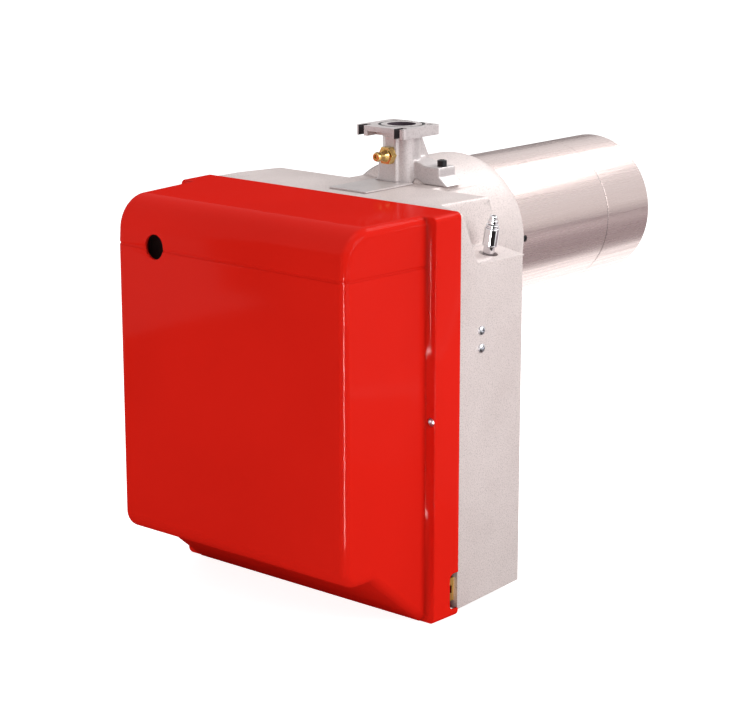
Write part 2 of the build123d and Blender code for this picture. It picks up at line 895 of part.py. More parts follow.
def damper_shaft():
    left = fan_x - damper_width / 2 - 8.0
    x = arm_x()
    half = arm_width / 2
    rod = rod_x(damper_shaft_d / 2, left, x + half, damper_shaft_y, damper_shaft_z)
    top = damper_shaft_z + arm_thickness / 2
    arm = block(x - half, x + half, adjuster_y - 4.0, damper_shaft_y,
                damper_shaft_z - arm_thickness / 2, top)
    boss = rod_x(damper_shaft_d / 2 + 2.0, x - half, x + half, damper_shaft_y, damper_shaft_z)
    return rod + arm + boss


def plunger_tip_t():
    return (damper_shaft_z + arm_thickness / 2 + seat_gap - adjuster_z) / cos(radians(shelf_slope))


def adjuster_plunger():
    top = sleeve_length / 2
    tip = plunger_tip_t() + 0.1
    radius = plunger_d / 2
    rod = Pos(0, 0, (top + tip) / 2) * Cylinder(radius, top - tip)
    rod = fillet(rod.edges().sort_by(Axis.Z)[0], radius * 0.8)
    bore_depth = spindle_reach + 12.0
    bore = Pos(0, 0, top - bore_depth / 2 + 0.5) * Cylinder(spindle_d / 2 + 0.1, bore_depth + past)
    return on_adjuster(rod - bore)


def adjuster_sleeve():
    collar = 11.0
    top = stem_length + sleeve_length
    low = -adjuster_wall - 9.0
    form = Pos(0, 0, (low - adjuster_wall) / 2) * Cylinder(collar, -adjuster_wall - low)
    form += Pos(0, 0, (stem_length - adjuster_wall) / 2) * Cylinder(stem_d / 2, stem_length + adjuster_wall)
    body = Pos(0, 0, stem_length + sleeve_length / 2) * Cylinder(sleeve_d / 2, sleeve_length)
    form += chamfer(body.edges().filter_by(GeomType.CIRCLE), 0.6)
    form -= Pos(0, 0, (low + top) / 2) * Cylinder(spindle_d / 2 + running_gap, top - low + 2.0)
    guide_top = sleeve_length / 2 + 2.0
    form -= Pos(0, 0, (low + guide_top) / 2 - 0.5) * Cylinder(plunger_d / 2 + running_gap,
                                                              guide_top - low + past)
    return on_adjuster(form)


def adjuster_lock_ring():
    base = stem_length + sleeve_length
    ring = Pos(0, 0, base + ring_length / 2) * Cylinder(ring_d / 2, ring_length)
    ring = chamfer(ring.edges().filter_by(GeomType.CIRCLE), 0.4)
    ring -= Pos(0, 0, base + ring_length / 2) * Cylinder(spindle_d / 2 + running_gap, ring_length + 2.0)
    return on_adjuster(ring)


def adjuster_spindle():
    base = stem_length + sleeve_length + ring_length + seat_gap
    flare = Pos(0, 0, base + cap_length / 4) * Cylinder(flare_d / 2, cap_length / 2)
    flare = chamfer(flare.edges().filter_by(GeomType.CIRCLE), 0.5)
    cap = Pos(0, 0, base + cap_length * 0.75) * Cylinder(cap_d / 2, cap_length / 2)
    cap = chamfer(cap.edges().sort_by(Axis.Z)[-1], 0.6)
    socket = Pos(0, 0, base + cap_length * 0.6) * extrude(hexagon(cap_d * 0.5), cap_length)
    low = sleeve_length / 2 - spindle_reach
    rod = Pos(0, 0, (base + low) / 2 + 0.5) * Cylinder(spindle_d / 2, base - low + past)
    return on_adjuster(flare + cap - socket + rod)


def flange_plate():
    half = flange_width / 2
    front = elbow_y - flange_front
    back = elbow_y + flange_back
    plate = block(-half, half, front, back, flange_bottom, flange_top)
    plate = fillet(plate.edges().filter_by(Axis.Z), 4.0)
    for side in (-1, 1):
        x = side * flange_bolt_spacing / 2
        slot_end = front + flange_bolt_d + 2.4
        plate -= block(x - flange_bolt_d / 2, x + flange_bolt_d / 2, front - past, slot_end,
                       flange_bottom - past, flange_top + past)
        plate -= rod_z(flange_bolt_d / 2, flange_bottom - past, flange_top + past, x, slot_end)
        plate -= rod_z(flange_bolt_d / 2, flange_bottom - past, flange_top + past, x,
                       elbow_y + flange_bolt_back)
    inner = flange_bolt_spacing / 2 - flange_bolt_d - 0.5
    plate -= block(-inner, inner, front - past, elbow_y - elbow_radius - 2.0,
                   flange_bottom - past, flange_bottom + flange_thickness / 2)
    return plate


def elbow_foot():
    low = slot_plate_top
    right = nipple_x + pad_half
    left = nipple_x - pad_half
    waist = low + foot_flare
    outer_left = -foot_left - foot_flare
    sides = Polyline((outer_left, low), (right, low), (right, flange_bottom), (left, flange_bottom),
                     (left, low + foot_height + foot_flare), (-foot_left, low + foot_height),
                     (-foot_left, waist))
    flare = RadiusArc((-foot_left, waist), (outer_left, low), foot_flare)
    form = slab_xz(make_face(sides + flare), pad_front, elbow_y)
    keep = rod_z(elbow_radius, low, flange_bottom, 0, elbow_y)
    keep += block(outer_left, right, pad_front, pad_front + foot_depth, low, flange_bottom)
    return form & keep


def elbow_saddle():
    rear = saddle_front + saddle_length
    low = housing_top + seat_gap
    form = rod_y(neck_radius + saddle_thickness, saddle_front, rear)
    form &= block(-saddle_left, saddle_right, saddle_front, rear, low, neck_radius + saddle_thickness)
    form += block(0.0, lug_reach, saddle_front, rear, lug_top - lug_thickness, lug_top)
    return form - neck_form(seat_gap)


def elbow_web():
    reach = elbow_y + flange_back
    side = outline([
        (elbow_y, flange_bottom), (reach - 4.0, flange_bottom),
        (reach + 9.0, neck_radius + seat_gap), (elbow_y, neck_radius + seat_gap),
    ])
    half = elbow_radius * 0.55
    return slab_yz(side, -half, half) - neck_form(seat_gap)


def seal_groove():
    outer = seal_outer_d / 2
    low = flange_top - seal_section
    groove = rod_z(outer, low, flange_top + past, 0, elbow_y)
    return groove - rod_z(outer - seal_section, low - past, flange_top + 2.0, 0, elbow_y)


def gas_elbow():
    column = rod_z(elbow_radius, 0.0, flange_bottom + past, 0, elbow_y)
    knee = Pos(0, elbow_y, 0) * Sphere(elbow_radius)
    spout = rod_y(elbow_radius - 3.0, elbow_y, elbow_y + elbow_radius + 9.0)
    body = flange_plate() + column + knee + spout + elbow_foot() + elbow_saddle() + elbow_web()
    bore = gas_bore_d / 2
    body -= rod_z(bore, 0.0, flange_top + past, 0, elbow_y)
    body -= Pos(0, elbow_y, 0) * Sphere(bore)
    body -= rod_y(gas_pipe_d / 2, elbow_y, elbow_y + elbow_radius + 10.0)
    body -= seal_groove()
    body -= rod_y(nipple_stem_d / 2, pad_front - past, elbow_y, nipple_x, nipple_z)
    body -= rod_z(lug_screw_d / 2, neck_radius / 2, lug_top + past, lug_screw_x(), lug_screw_y())
    return body


def lug_screw_x():
    return lug_reach - lug_screw_d + 0.6


def lug_screw_y():
    return saddle_front + saddle_length * 0.46


def flange_seal():
    ring = Torus((seal_outer_d - seal_section) / 2, seal_section / 2 - 0.1)
    return Pos(0, elbow_y, flange_top - seal_section / 2) * ring


def lug_screw():
    x = lug_screw_x()
    y = lug_screw_y()
    seat = sqrt((neck_radius + seat_gap) ** 2 - (x - lug_screw_d / 2) ** 2)
    shank = lug_top - seat - 0.5
    return Pos(x, y, lug_top) * cap_screw(8.7, 6.0, lug_screw_d - 0.2, shank)


def test_nipple():
    hexa = Plane.XZ.offset(-pad_front) * hexagon(nipple_flats)
    body = Pos(nipple_x, 0, nipple_z) * extrude(hexa, nipple_hex_length)
    tip = pad_front - nipple_hex_length
    wide = nipple_tip_d / 2
    stem = turned([
        (0, tip + 0.1), (wide + past, tip + 0.1), (wide - 0.6, tip - 4.0), (wide - 0.6, tip - 8.0),
        (wide, tip - 10.0), (wide - 0.8, tip - nipple_tip_length), (0, tip - nipple_tip_length),
    ])
    body += Pos(nipple_x, 0, nipple_z) * stem
    body += rod_y(nipple_stem_d / 2 - running_gap, pad_front - past, pad_front + pad_lead + 1.5,
                  nipple_x, nipple_z)
    well = tip - nipple_hex_length / 2
    return body - rod_y(nipple_screw_d / 2 + 0.1, tip - nipple_tip_length - past, well,
                        nipple_x, nipple_z)


def nipple_screw():
    tip = pad_front - nipple_hex_length
    return rod_y(nipple_screw_d / 2, tip - nipple_tip_length + 1.5, tip - nipple_hex_length / 2 - 0.2,
                 nipple_x, nipple_z)


def slot_cover():
    rear = housing_rear + 1.5
    low = housing_top + seat_gap
    plate = block(-slot_plate_half, slot_plate_half, rear - slot_plate_length, rear, low,
                  slot_plate_top)
    corners = [edge for edge in plate.edges().filter_by(Axis.Z) if edge.center().Y < rear - past]
    plate = fillet(corners, 2.0)
    return plate - rod_z(elbow_radius + seat_gap, low - past, slot_plate_top + past, 0, elbow_y)


def gas_pipe():
    start = elbow_y + gas_bore_d / 2 + 0.5
    pipe = rod_y(gas_pipe_d / 2, start, gas_pipe_end)
    return pipe - rod_y(gas_pipe_d / 2 - gas_pipe_wall, start - past, gas_pipe_end + past)


def gas_nozzle():
    base = gas_pipe_end - 8.0
    end = gas_pipe_end + nozzle_length
    outer = nozzle_d / 2
    body = turned([
        (gas_pipe_d / 2, base), (outer, base + 6.0), (outer, end - 5.0), (outer - 5.0, end),
        (0, end), (0, end - 3.0), (outer - 6.0, end - 3.0), (gas_pipe_d / 2 - past, gas_pipe_end),
        (gas_pipe_d / 2, gas_pipe_end),
    ])
    holes = 8
    for i in range(holes):
        drill = rod_x(2.5, 4.0, outer + 2.0, end - 9.0, 0.0)
        body -= Rot(0, 360.0 * i / holes + 22.5, 0) * drill
    return body


def diffuser_disc():
    y0 = gas_pipe_end + 3.0
    radius = diffuser_d / 2
    disc = rod_y(radius, y0, y0 + 2.0)
    disc -= rod_y(nozzle_d / 2, y0 - past, y0 + 3.0)
    rim = rod_y(radius, y0 - 8.0, y0 + 0.5) - rod_y(radius - 1.5, y0 - 9.0, y0 + past)
    disc += rim
    middle = (radius + nozzle_d / 2) / 2 + past
    length = radius - nozzle_d / 2 - 14.0
    for i in range(diffuser_slots):
        slot = Pos(middle, 0, 0) * Rot(0, 28.0, 0) * block(-length / 2, length / 2, y0 - past,
                                                           y0 + 3.0, -1.6, 1.6)
        disc -= Rot(0, 360.0 * i / diffuser_slots + 15.0, 0) * slot
    for x, z in electrode_points():
        disc -= rod_y(electrode_d / 2 + 1.2, y0 - 2.0, y0 + 3.0, x, z)
    return disc


def electrode_points():
    return [(-electrode_offset, 0.0), (electrode_offset, 0.0)]


def electrode(x, z, bend):
    start = gas_pipe_end - 62.0
    shoulder = gas_pipe_end - 4.0
    ceramic = rod_y(electrode_d / 2, start, shoulder + 12.0, x, z)
    ceramic = chamfer(ceramic.edges().sort_by(Axis.Y)[-1], 1.2)
    ceramic -= rod_y(electrode_tip_d / 2, start - past, shoulder + 14.0, x, z)
    wire = rod_y(electrode_tip_d / 2, start - 8.0, shoulder + 26.0, x, z)
    wire += Pos(x, shoulder + 26.0, z) * Sphere(electrode_tip_d / 2)
    tip = Pos(x, shoulder + 26.0, z) * Rot(0, 0, bend) * rod_y(electrode_tip_d / 2, 0.0, 11.0)
    return ceramic, wire + tip


def ignition_insulator():
    return electrode(*electrode_points()[0], -40.0)[0]


def ignition_wire():
    return electrode(*electrode_points()[0], -40.0)[1]


def flame_insulator():
    return electrode(*electrode_points()[1], 0.0)[0]


def flame_wire():
    return electrode(*electrode_points()[1], 0.0)[1]


def electrode_clamp():
    y0 = gas_pipe_end - 46.0
    bar = block(-electrode_offset - 8.0, electrode_offset + 8.0, y0, y0 + 10.0, -7.0, 7.0)
    bar += rod_y(gas_pipe_d / 2 + 4.0, y0, y0 + 10.0)
    bar -= rod_y(gas_pipe_d / 2, y0 - past, y0 + 11.0)
    for x, z in electrode_points():
        bar -= rod_y(electrode_d / 2, y0 - past, y0 + 11.0, x, z)
    return bar


def control_front():
    return housing_front - control_base_depth


def control_base():
    left = reset_x - control_width / 2
    low = reset_z - control_height + 24.0
    base = block(left, left + control_width, control_front(), housing_front, low, low + control_height)
    base = fillet(base.edges().filter_by(Axis.Y), 3.0)
    return base - block(left + 3.0, left + control_width - 3.0, control_front() + 6.0,
                        housing_front + past, low + 3.0, low + control_height - 3.0)


def control_box():
    left = reset_x - control_width / 2 + 2.0
    low = reset_z - control_height + 26.0
    front = control_front() - control_box_depth
    box = block(left, left + control_width - 4.0, front, control_front(), low,
                low + control_height - 4.0)
    box = fillet([edge for edge in box.edges() if edge.center().Y < control_front() - past], 3.0)
    well = button_length - 4.0
    return box - rod_y(button_d / 2 + button_gap, front - past, front + well + button_travel + past,
                       reset_x, reset_z)


def reset_button():
    front = control_front() - control_box_depth - 4.0
    button = rod_y(button_d / 2, front, front + button_length, reset_x, reset_z)
    return fillet(button.edges().sort_by(Axis.Y)[0], 1.5)


def pressure_switch():
    front = housing_front - switch_depth
    body = rod_y(switch_d / 2, housing_front - 24.0, housing_front, switch_x, switch_z)
    body += rod_y(switch_d / 2 - 4.0, front, housing_front - 23.0, switch_x, switch_z)
    body += block(switch_x - 14.0, switch_x + 14.0, front + 6.0, housing_front - 6.0,
                  switch_z - switch_d / 2 - 8.0, switch_z)
    return body - rod_y(dial_pin_d / 2 + running_gap, front - past, front + 10.0, switch_x, switch_z)


def pressure_dial():
    front = housing_front - switch_depth - dial_depth - seat_gap
    dial = rod_y(dial_d / 2, front, front + dial_depth, switch_x, switch_z)
    dial = fillet(dial.edges().sort_by(Axis.Y)[0], 1.0)
    dial -= block(switch_x - past, switch_x + past, front - past, front + 2.0,
                  switch_z - dial_d / 3, switch_z + dial_d / 3)
    return dial + rod_y(dial_pin_d / 2, front + dial_depth - past, front + dial_depth + 8.0,
                        switch_x, switch_z)


def capacitor():
    low = capacitor_z - capacitor_length / 2
    y = housing_front - capacitor_d / 2 - 4.0
    can = rod_z(capacitor_d / 2, low, low + capacitor_length, capacitor_x, y)
    can = fillet(can.edges().filter_by(GeomType.CIRCLE), 2.0)
    return can + rod_z(4.0, low + capacitor_length - past, low + capacitor_length + 6.0,
                       capacitor_x, y)


def capacitor_clip():
    radius = capacitor_d / 2
    y = housing_front - radius - 4.0
    low = capacitor_z - 7.0
    strap = rod_z(radius + 1.5, low, low + 14.0, capacitor_x, y)
    strap += block(capacitor_x - radius - 1.5, capacitor_x + radius + 1.5, y, housing_front,
                   low, low + 14.0)
    strap -= rod_z(radius, low - past, low + 15.0, capacitor_x, y)
    return strap - block(capacitor_x - radius, capacitor_x + radius, y, housing_front - 1.5,
                         low - past, low + 15.0)


def mains_socket():
    x0 = socket_x - socket_width / 2
    z0 = socket_z - socket_height / 2
    front = housing_front - socket_depth
    body = block(x0, x0 + socket_width, front, housing_front, z0, z0 + socket_height)
    body = fillet(body.edges().filter_by(Axis.Y), 3.0)
    room = block(x0 + 3.0, x0 + socket_width - 3.0, front - past, front + 18.0, z0 + 3.0,
                 z0 + socket_height - 3.0)
    body -= room
    pins = 7
    pitch = (socket_width - 12.0) / pins
    for i in range(pins):
        x = x0 + 6.0 + pitch * (i + 0.5)
        body += rod_y(1.8, front + 6.0, front + 19.0, x, socket_z)
    return body


def catch_plate():
    outer = wall_inner_x + 1.5
    front = cover_rear - notch_depth + past
    low = -notch_bottom + 6.0
    high = -notch_top - 6.0
    wing = block(outer - catch_thickness, outer, front, housing_front, low, high)
    wing -= block(outer - 2 * catch_thickness, outer + past, front + 3.5, front + 7.5,
                  low + 7.0, high - 7.0)
    foot = block(outer - 14.0, outer, housing_front - catch_thickness, housing_front, low, high)
    return wing + foot


def write(name, shape):
    part = shape if not isinstance(shape, list) else Compound(children=list(shape))
    part.label = name
    export_step(part, f"parts/{name}.step")


nodes = [
    fan_housing, front_cover, cover_screws, side_screws, blast_tube, tube_end, tube_screws,
    motor_plate, plate_screws, motor_body, motor_end_shield, motor_screws, motor_shaft,
    motor_rotor, fan_wheel, inlet_ring, air_box, air_box_screws, intake_grille, damper_flap,
    damper_shaft, adjuster_plunger, adjuster_sleeve, adjuster_lock_ring, adjuster_spindle,
    gas_elbow, flange_seal, lug_screw, test_nipple, nipple_screw, slot_cover, gas_pipe,
    gas_nozzle, diffuser_disc, ignition_insulator, ignition_wire, flame_insulator, flame_wire,
    electrode_clamp, control_base, control_box, reset_button, pressure_switch, pressure_dial,
    capacitor, capacitor_clip, mains_socket, catch_plate,
]
os.makedirs("parts", exist_ok=True)
for node in nodes:
    write(node.__name__, node())
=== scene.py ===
import json
import math
import bmesh
import bpy
from mathutils import Matrix, Vector


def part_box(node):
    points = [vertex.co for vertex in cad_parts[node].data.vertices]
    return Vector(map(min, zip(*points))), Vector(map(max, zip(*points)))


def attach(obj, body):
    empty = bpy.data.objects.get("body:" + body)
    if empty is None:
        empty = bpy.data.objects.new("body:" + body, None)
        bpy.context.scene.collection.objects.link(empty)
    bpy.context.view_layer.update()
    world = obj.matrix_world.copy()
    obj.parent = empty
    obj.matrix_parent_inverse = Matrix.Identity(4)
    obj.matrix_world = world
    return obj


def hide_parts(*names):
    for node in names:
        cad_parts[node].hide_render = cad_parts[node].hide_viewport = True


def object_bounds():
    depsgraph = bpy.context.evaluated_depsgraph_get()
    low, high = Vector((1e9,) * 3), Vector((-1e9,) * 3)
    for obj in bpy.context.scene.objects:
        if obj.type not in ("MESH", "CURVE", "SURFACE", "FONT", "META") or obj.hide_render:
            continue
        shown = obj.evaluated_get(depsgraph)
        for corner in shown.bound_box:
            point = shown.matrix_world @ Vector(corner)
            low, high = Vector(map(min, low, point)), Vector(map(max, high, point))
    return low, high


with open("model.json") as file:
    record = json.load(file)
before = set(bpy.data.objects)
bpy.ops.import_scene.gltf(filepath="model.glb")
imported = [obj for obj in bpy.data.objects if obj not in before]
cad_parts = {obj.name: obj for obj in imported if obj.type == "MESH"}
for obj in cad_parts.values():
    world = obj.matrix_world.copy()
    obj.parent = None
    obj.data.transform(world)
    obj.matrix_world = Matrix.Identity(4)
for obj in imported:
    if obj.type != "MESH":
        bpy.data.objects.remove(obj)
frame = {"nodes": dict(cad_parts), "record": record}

cadLow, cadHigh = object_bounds()
mm = 0.001
nodes = frame["nodes"]
record = frame["record"]
slotOf = {part["node"]: part["material_slot"] for part in record["subparts"]}
bodyOf = {node: body for body, names in record["behaviour"]["bodies"].items() for node in names}
print("frame loaded:", len(nodes), "CAD nodes")


# Helpers for the node trees of the finishes

noiseLow, noiseHigh = 0.3, 0.7  # nearly all of a noise lies between these


def newMaterial(name):
    material = bpy.data.materials.new(name)
    material.use_nodes = True
    tree = material.node_tree
    shader = next(node for node in tree.nodes if node.type == "BSDF_PRINCIPLED")
    return material, tree, shader


def objectCoords(tree, stretch=(1, 1, 1)):
    coords = tree.nodes.new("ShaderNodeTexCoord")
    mapping = tree.nodes.new("ShaderNodeMapping")
    mapping.inputs["Scale"].default_value = stretch
    tree.links.new(coords.outputs["Object"], mapping.inputs["Vector"])
    return mapping.outputs["Vector"]


def noise(tree, vector, scale, detail=3.0, roughness=0.5):
    texture = tree.nodes.new("ShaderNodeTexNoise")
    texture.inputs["Scale"].default_value = scale
    texture.inputs["Detail"].default_value = detail
    texture.inputs["Roughness"].default_value = roughness
    tree.links.new(vector, texture.inputs["Vector"])
    return texture.outputs["Fac"]


def ramp(tree, value, stops):
    node = tree.nodes.new("ShaderNodeValToRGB")
    line = node.color_ramp
    while len(line.elements) < len(stops):
        line.elements.new(0.5)
    for element, (place, colour) in zip(line.elements, stops):
        element.position = place
        element.color = (*colour, 1.0)
    tree.links.new(value, node.inputs["Fac"])
    return node.outputs["Color"]


def spread(tree, value, low, high):
    node = tree.nodes.new("ShaderNodeMapRange")
    node.inputs["From Min"].default_value = noiseLow
    node.inputs["From Max"].default_value = noiseHigh
    node.inputs["To Min"].default_value = low
    node.inputs["To Max"].default_value = high
    tree.links.new(value, node.inputs["Value"])
    return node.outputs["Result"]


def mixColour(tree, amount, first, second, blend="MIX"):
    node = tree.nodes.new("ShaderNodeMix")
    node.data_type = "RGBA"
    node.blend_type = blend
    amountSocket, firstSocket, secondSocket = node.inputs[0], node.inputs[6], node.inputs[7]
    for socket, value in ((amountSocket, amount), (firstSocket, first), (secondSocket, second)):
        if isinstance(value, bpy.types.NodeSocket):
            tree.links.new(value, socket)
        elif isinstance(value, (tuple, list)):
            socket.default_value = (*value, 1.0)
        else:
            socket.default_value = value
    return node.outputs[2]


def bump(tree, shader, height, strength, distance, after=None):
    node = tree.nodes.new("ShaderNodeBump")
    node.inputs["Strength"].default_value = strength
    node.inputs["Distance"].default_value = distance
    tree.links.new(height, node.inputs["Height"])
    if after is not None:
        tree.links.new(after, node.inputs["Normal"])
    tree.links.new(node.outputs["Normal"], shader.inputs["Normal"])
    return node.outputs["Normal"]


# Finishes, all on Object coordinates: noise scales are per metre, heights in metres

redLook = {"colour": (0.72, 0.0150, 0.0080), "shade": (0.67, 0.0135, 0.0070), "drift": 6.0,
           "gloss": 0.30, "smoother": 0.03, "rougher": 0.05, "haze": 35.0, "shine": 0.0, "coat": 0.09,
           "coatGloss": 0.07, "peel": 320.0, "peelStrength": 0.25, "peelHeight": 0.00004}


def redGlossPaint(name, look):
    material, tree, shader = newMaterial(name)
    where = objectCoords(tree)
    drift = noise(tree, where, look["drift"], detail=2.0)
    tone = mixColour(tree, spread(tree, drift, 0.0, 1.0), look["colour"], look["shade"])
    tree.links.new(tone, shader.inputs["Base Color"])
    haze = noise(tree, where, look["haze"], detail=4.0, roughness=0.6)
    rough = spread(tree, haze, look["gloss"] - look["smoother"], look["gloss"] + look["rougher"])
    tree.links.new(rough, shader.inputs["Roughness"])
    shader.inputs["Specular IOR Level"].default_value = look["shine"]
    shader.inputs["Coat Weight"].default_value = look["coat"]
    shader.inputs["Coat Roughness"].default_value = look["coatGloss"]
    peel = noise(tree, where, look["peel"], detail=2.0)
    bump(tree, shader, peel, look["peelStrength"], look["peelHeight"])
    return material


castLook = {"colour": (0.79, 0.70, 0.68), "shade": (0.71, 0.62, 0.60), "blotch": 14.0, "grain": 900.0,
            "dark": (0.62, 0.60, 0.60), "middle": (0.92, 0.91, 0.91), "spark": (1.0, 1.0, 1.0),
            "stops": (0.36, 0.47, 0.62), "fleck": 0.9, "metal": 0.25, "rough": 0.50, "roughRange": 0.12,
            "bump": 0.35, "grainHeight": 0.0006, "blotchBump": 0.15, "blotchHeight": 0.002}
dieCastLook = dict(castLook, colour=(0.72, 0.67, 0.66), shade=(0.60, 0.55, 0.55), fleck=0.6, metal=0.45,
                   rough=0.40, bump=0.16)


def castSkin(name, look):
    material, tree, shader = newMaterial(name)
    where = objectCoords(tree)
    blotch = noise(tree, where, look["blotch"], detail=4.0, roughness=0.6)
    grain = noise(tree, where, look["grain"], detail=3.0, roughness=0.7)
    base = mixColour(tree, spread(tree, blotch, 0.0, 1.0), look["colour"], look["shade"])
    flecks = ramp(tree, grain, list(zip(look["stops"], (look["dark"], look["middle"], look["spark"]))))
    tree.links.new(mixColour(tree, look["fleck"], base, flecks, "MULTIPLY"), shader.inputs["Base Color"])
    shader.inputs["Metallic"].default_value = look["metal"]
    rough = spread(tree, grain, look["rough"] - look["roughRange"], look["rough"] + look["roughRange"])
    tree.links.new(rough, shader.inputs["Roughness"])
    sandy = bump(tree, shader, grain, look["bump"], look["grainHeight"])
    bump(tree, shader, blotch, look["blotchBump"], look["blotchHeight"], sandy)
    return material


tubeLook = {"colour": (0.69, 0.58, 0.56), "shade": (0.60, 0.50, 0.48), "stain": (0.60, 0.47, 0.44),
            "stained": 0.45, "stretch": (1.0, 0.02, 1.0), "scale": 420.0, "broader": 9.0, "metal": 1.0,
            "rough": 0.27, "smoother": 0.06, "rougher": 0.08, "bump": 0.05, "lineHeight": 0.0001}


def brushedSteel(name, look):
    material, tree, shader = newMaterial(name)
    where = objectCoords(tree, look["stretch"])
    lines = noise(tree, where, look["scale"], detail=4.0, roughness=0.6)
    broad = noise(tree, where, look["scale"] / look["broader"], detail=2.0)
    tone = mixColour(tree, spread(tree, lines, 0.0, 1.0), look["colour"], look["shade"])
    tone = mixColour(tree, spread(tree, broad, 0.0, look["stained"]), tone, look["stain"])
    tree.links.new(tone, shader.inputs["Base Color"])
    shader.inputs["Metallic"].default_value = look["metal"]
    rough = spread(tree, lines, look["rough"] - look["smoother"], look["rough"] + look["rougher"])
    tree.links.new(rough, shader.inputs["Roughness"])
    bump(tree, shader, lines, look["bump"], look["lineHeight"])
    return material


metalWear = {"scale": 60.0, "darker": 0.82, "polished": 0.8, "dulled": 1.25, "height": 0.0002}
metals = {
    "zincPlate": {"colour": (0.62, 0.63, 0.66), "rough": 0.30},
    "yellowZinc": {"colour": (0.70, 0.46, 0.13), "rough": 0.30},
    "blackOxide": {"colour": (0.012, 0.012, 0.014), "rough": 0.34, "metal": 0.3},
    "chromePlate": {"colour": (0.74, 0.72, 0.74), "rough": 0.09, "grain": 300.0, "bumpStrength": 0.02},
    "mirrorChrome": {"colour": (0.70, 0.69, 0.70), "rough": 0.05, "grain": 300.0, "bumpStrength": 0.0},
    "turnedBrass": {"colour": (0.80, 0.56, 0.20), "rough": 0.20},
    "pressedSteel": {"colour": (0.55, 0.56, 0.57), "rough": 0.36},
    "scaledSteel": {"colour": (0.36, 0.33, 0.31), "rough": 0.45},
    "motorGrey": {"colour": (0.20, 0.21, 0.23), "rough": 0.50, "metal": 0.2},
    # painted shade: a dark purple laid on the inside of the gas elbow's bore, where shade falls
    "paintedBoreShade": {"colour": (0.085, 0.055, 0.075), "rough": 0.60, "metal": 0.3},
    # painted shade: a near-black laid on the walls of the flange slots and in the tube's seam groove, where
    # shade falls
    "paintedSlotShade": {"colour": (0.030, 0.022, 0.026), "rough": 0.55, "metal": 0.2},
}


def plainMetal(name, colour, rough, metal=1.0, grain=500.0, bumpStrength=0.12):
    material, tree, shader = newMaterial(name)
    where = objectCoords(tree)
    wear = noise(tree, where, metalWear["scale"], detail=4.0, roughness=0.6)
    darker = tuple(channel * metalWear["darker"] for channel in colour)
    tone = mixColour(tree, spread(tree, wear, 0.0, 1.0), colour, darker)
    tree.links.new(tone, shader.inputs["Base Color"])
    shader.inputs["Metallic"].default_value = metal
    worn = spread(tree, wear, rough * metalWear["polished"], rough * metalWear["dulled"])
    tree.links.new(worn, shader.inputs["Roughness"])
    bump(tree, shader, noise(tree, where, grain, detail=2.0), bumpStrength, metalWear["height"])
    return material


plasticCloud = {"scale": 25.0, "paler": 1.18, "lift": 0.004, "smoother": 0.05, "rougher": 0.06,
                "height": 0.0003}
plastics = {
    "blackPlastic": {"colour": (0.018, 0.018, 0.020), "rough": 0.45},
    "greyPlastic": {"colour": (0.22, 0.225, 0.235), "rough": 0.42},
    "whitePlastic": {"colour": (0.72, 0.72, 0.69), "rough": 0.40},
    "buttonRed": {"colour": (0.40, 0.012, 0.010), "rough": 0.25, "grain": 300.0, "bumpStrength": 0.05},
    "glazedCeramic": {"colour": (0.82, 0.80, 0.74), "rough": 0.16, "grain": 200.0, "bumpStrength": 0.05},
    "blackRubber": {"colour": (0.010, 0.010, 0.011), "rough": 0.58, "grain": 900.0, "bumpStrength": 0.3},
}


def mouldedPlastic(name, colour, rough, grain=700.0, bumpStrength=0.2):
    material, tree, shader = newMaterial(name)
    where = objectCoords(tree)
    cloud = noise(tree, where, plasticCloud["scale"], detail=3.0)
    paler = tuple(min(1.0, channel * plasticCloud["paler"] + plasticCloud["lift"]) for channel in colour)
    tone = mixColour(tree, spread(tree, cloud, 0.0, 1.0), colour, paler)
    tree.links.new(tone, shader.inputs["Base Color"])
    uneven = spread(tree, cloud, rough - plasticCloud["smoother"], rough + plasticCloud["rougher"])
    tree.links.new(uneven, shader.inputs["Roughness"])
    skin = noise(tree, where, grain, detail=2.0, roughness=0.7)
    bump(tree, shader, skin, bumpStrength, plasticCloud["height"])
    return material


finishes = {
    "redGlossPaint": redGlossPaint("redGlossPaint", redLook),
    "sandCastAluminium": castSkin("sandCastAluminium", castLook),
    "dieCastAluminium": castSkin("dieCastAluminium", dieCastLook),
    "brushedTube": brushedSteel("brushedTube", tubeLook),
}
finishes.update({name: plainMetal(name, **look) for name, look in metals.items()})
finishes.update({name: mouldedPlastic(name, **look) for name, look in plastics.items()})
slotFinish = {
    "housing_metal": "sandCastAluminium", "cover_red": "redGlossPaint", "tube_steel": "brushedTube",
    "head_metal": "dieCastAluminium", "seal_rubber": "blackRubber", "black_steel": "blackOxide",
    "zinc_steel": "zincPlate", "yellow_zinc": "yellowZinc", "nipple_brass": "turnedBrass",
    "fitting_chrome": "chromePlate", "motor_iron": "motorGrey", "fan_steel": "pressedSteel",
    "air_box_black": "blackPlastic", "control_black": "blackPlastic", "control_grey": "greyPlastic",
    "button_red": "buttonRed", "capacitor_white": "whitePlastic", "ceramic_white": "glazedCeramic",
    "disc_steel": "scaledSteel",
}


def setFinish(thing, name):
    thing.data.materials.clear()
    thing.data.materials.append(finishes[name])
    for face in thing.data.polygons:
        face.material_index = 0


for name, thing in nodes.items():
    setFinish(thing, slotFinish[slotOf[name]])
print("finishes on", len(nodes), "nodes")


# Helpers for meshes; angles in the dictionaries are in degrees

shading = {"weld": 0.003 * mm, "sharp": 32.0, "flat": 0.6, "edgeAngle": 35.0, "edgeSteps": 2}


def mergedMesh(nodeName):
    work = bmesh.new()
    work.from_mesh(nodes[nodeName].data)
    bmesh.ops.remove_doubles(work, verts=work.verts, dist=shading["weld"])
    return work


def toMesh(work, name):
    mesh = bpy.data.meshes.new(name)
    work.to_mesh(mesh)
    work.free()
    return mesh


def makeObject(name, mesh):
    thing = bpy.data.objects.new(name, mesh)
    bpy.context.scene.collection.objects.link(thing)
    return thing


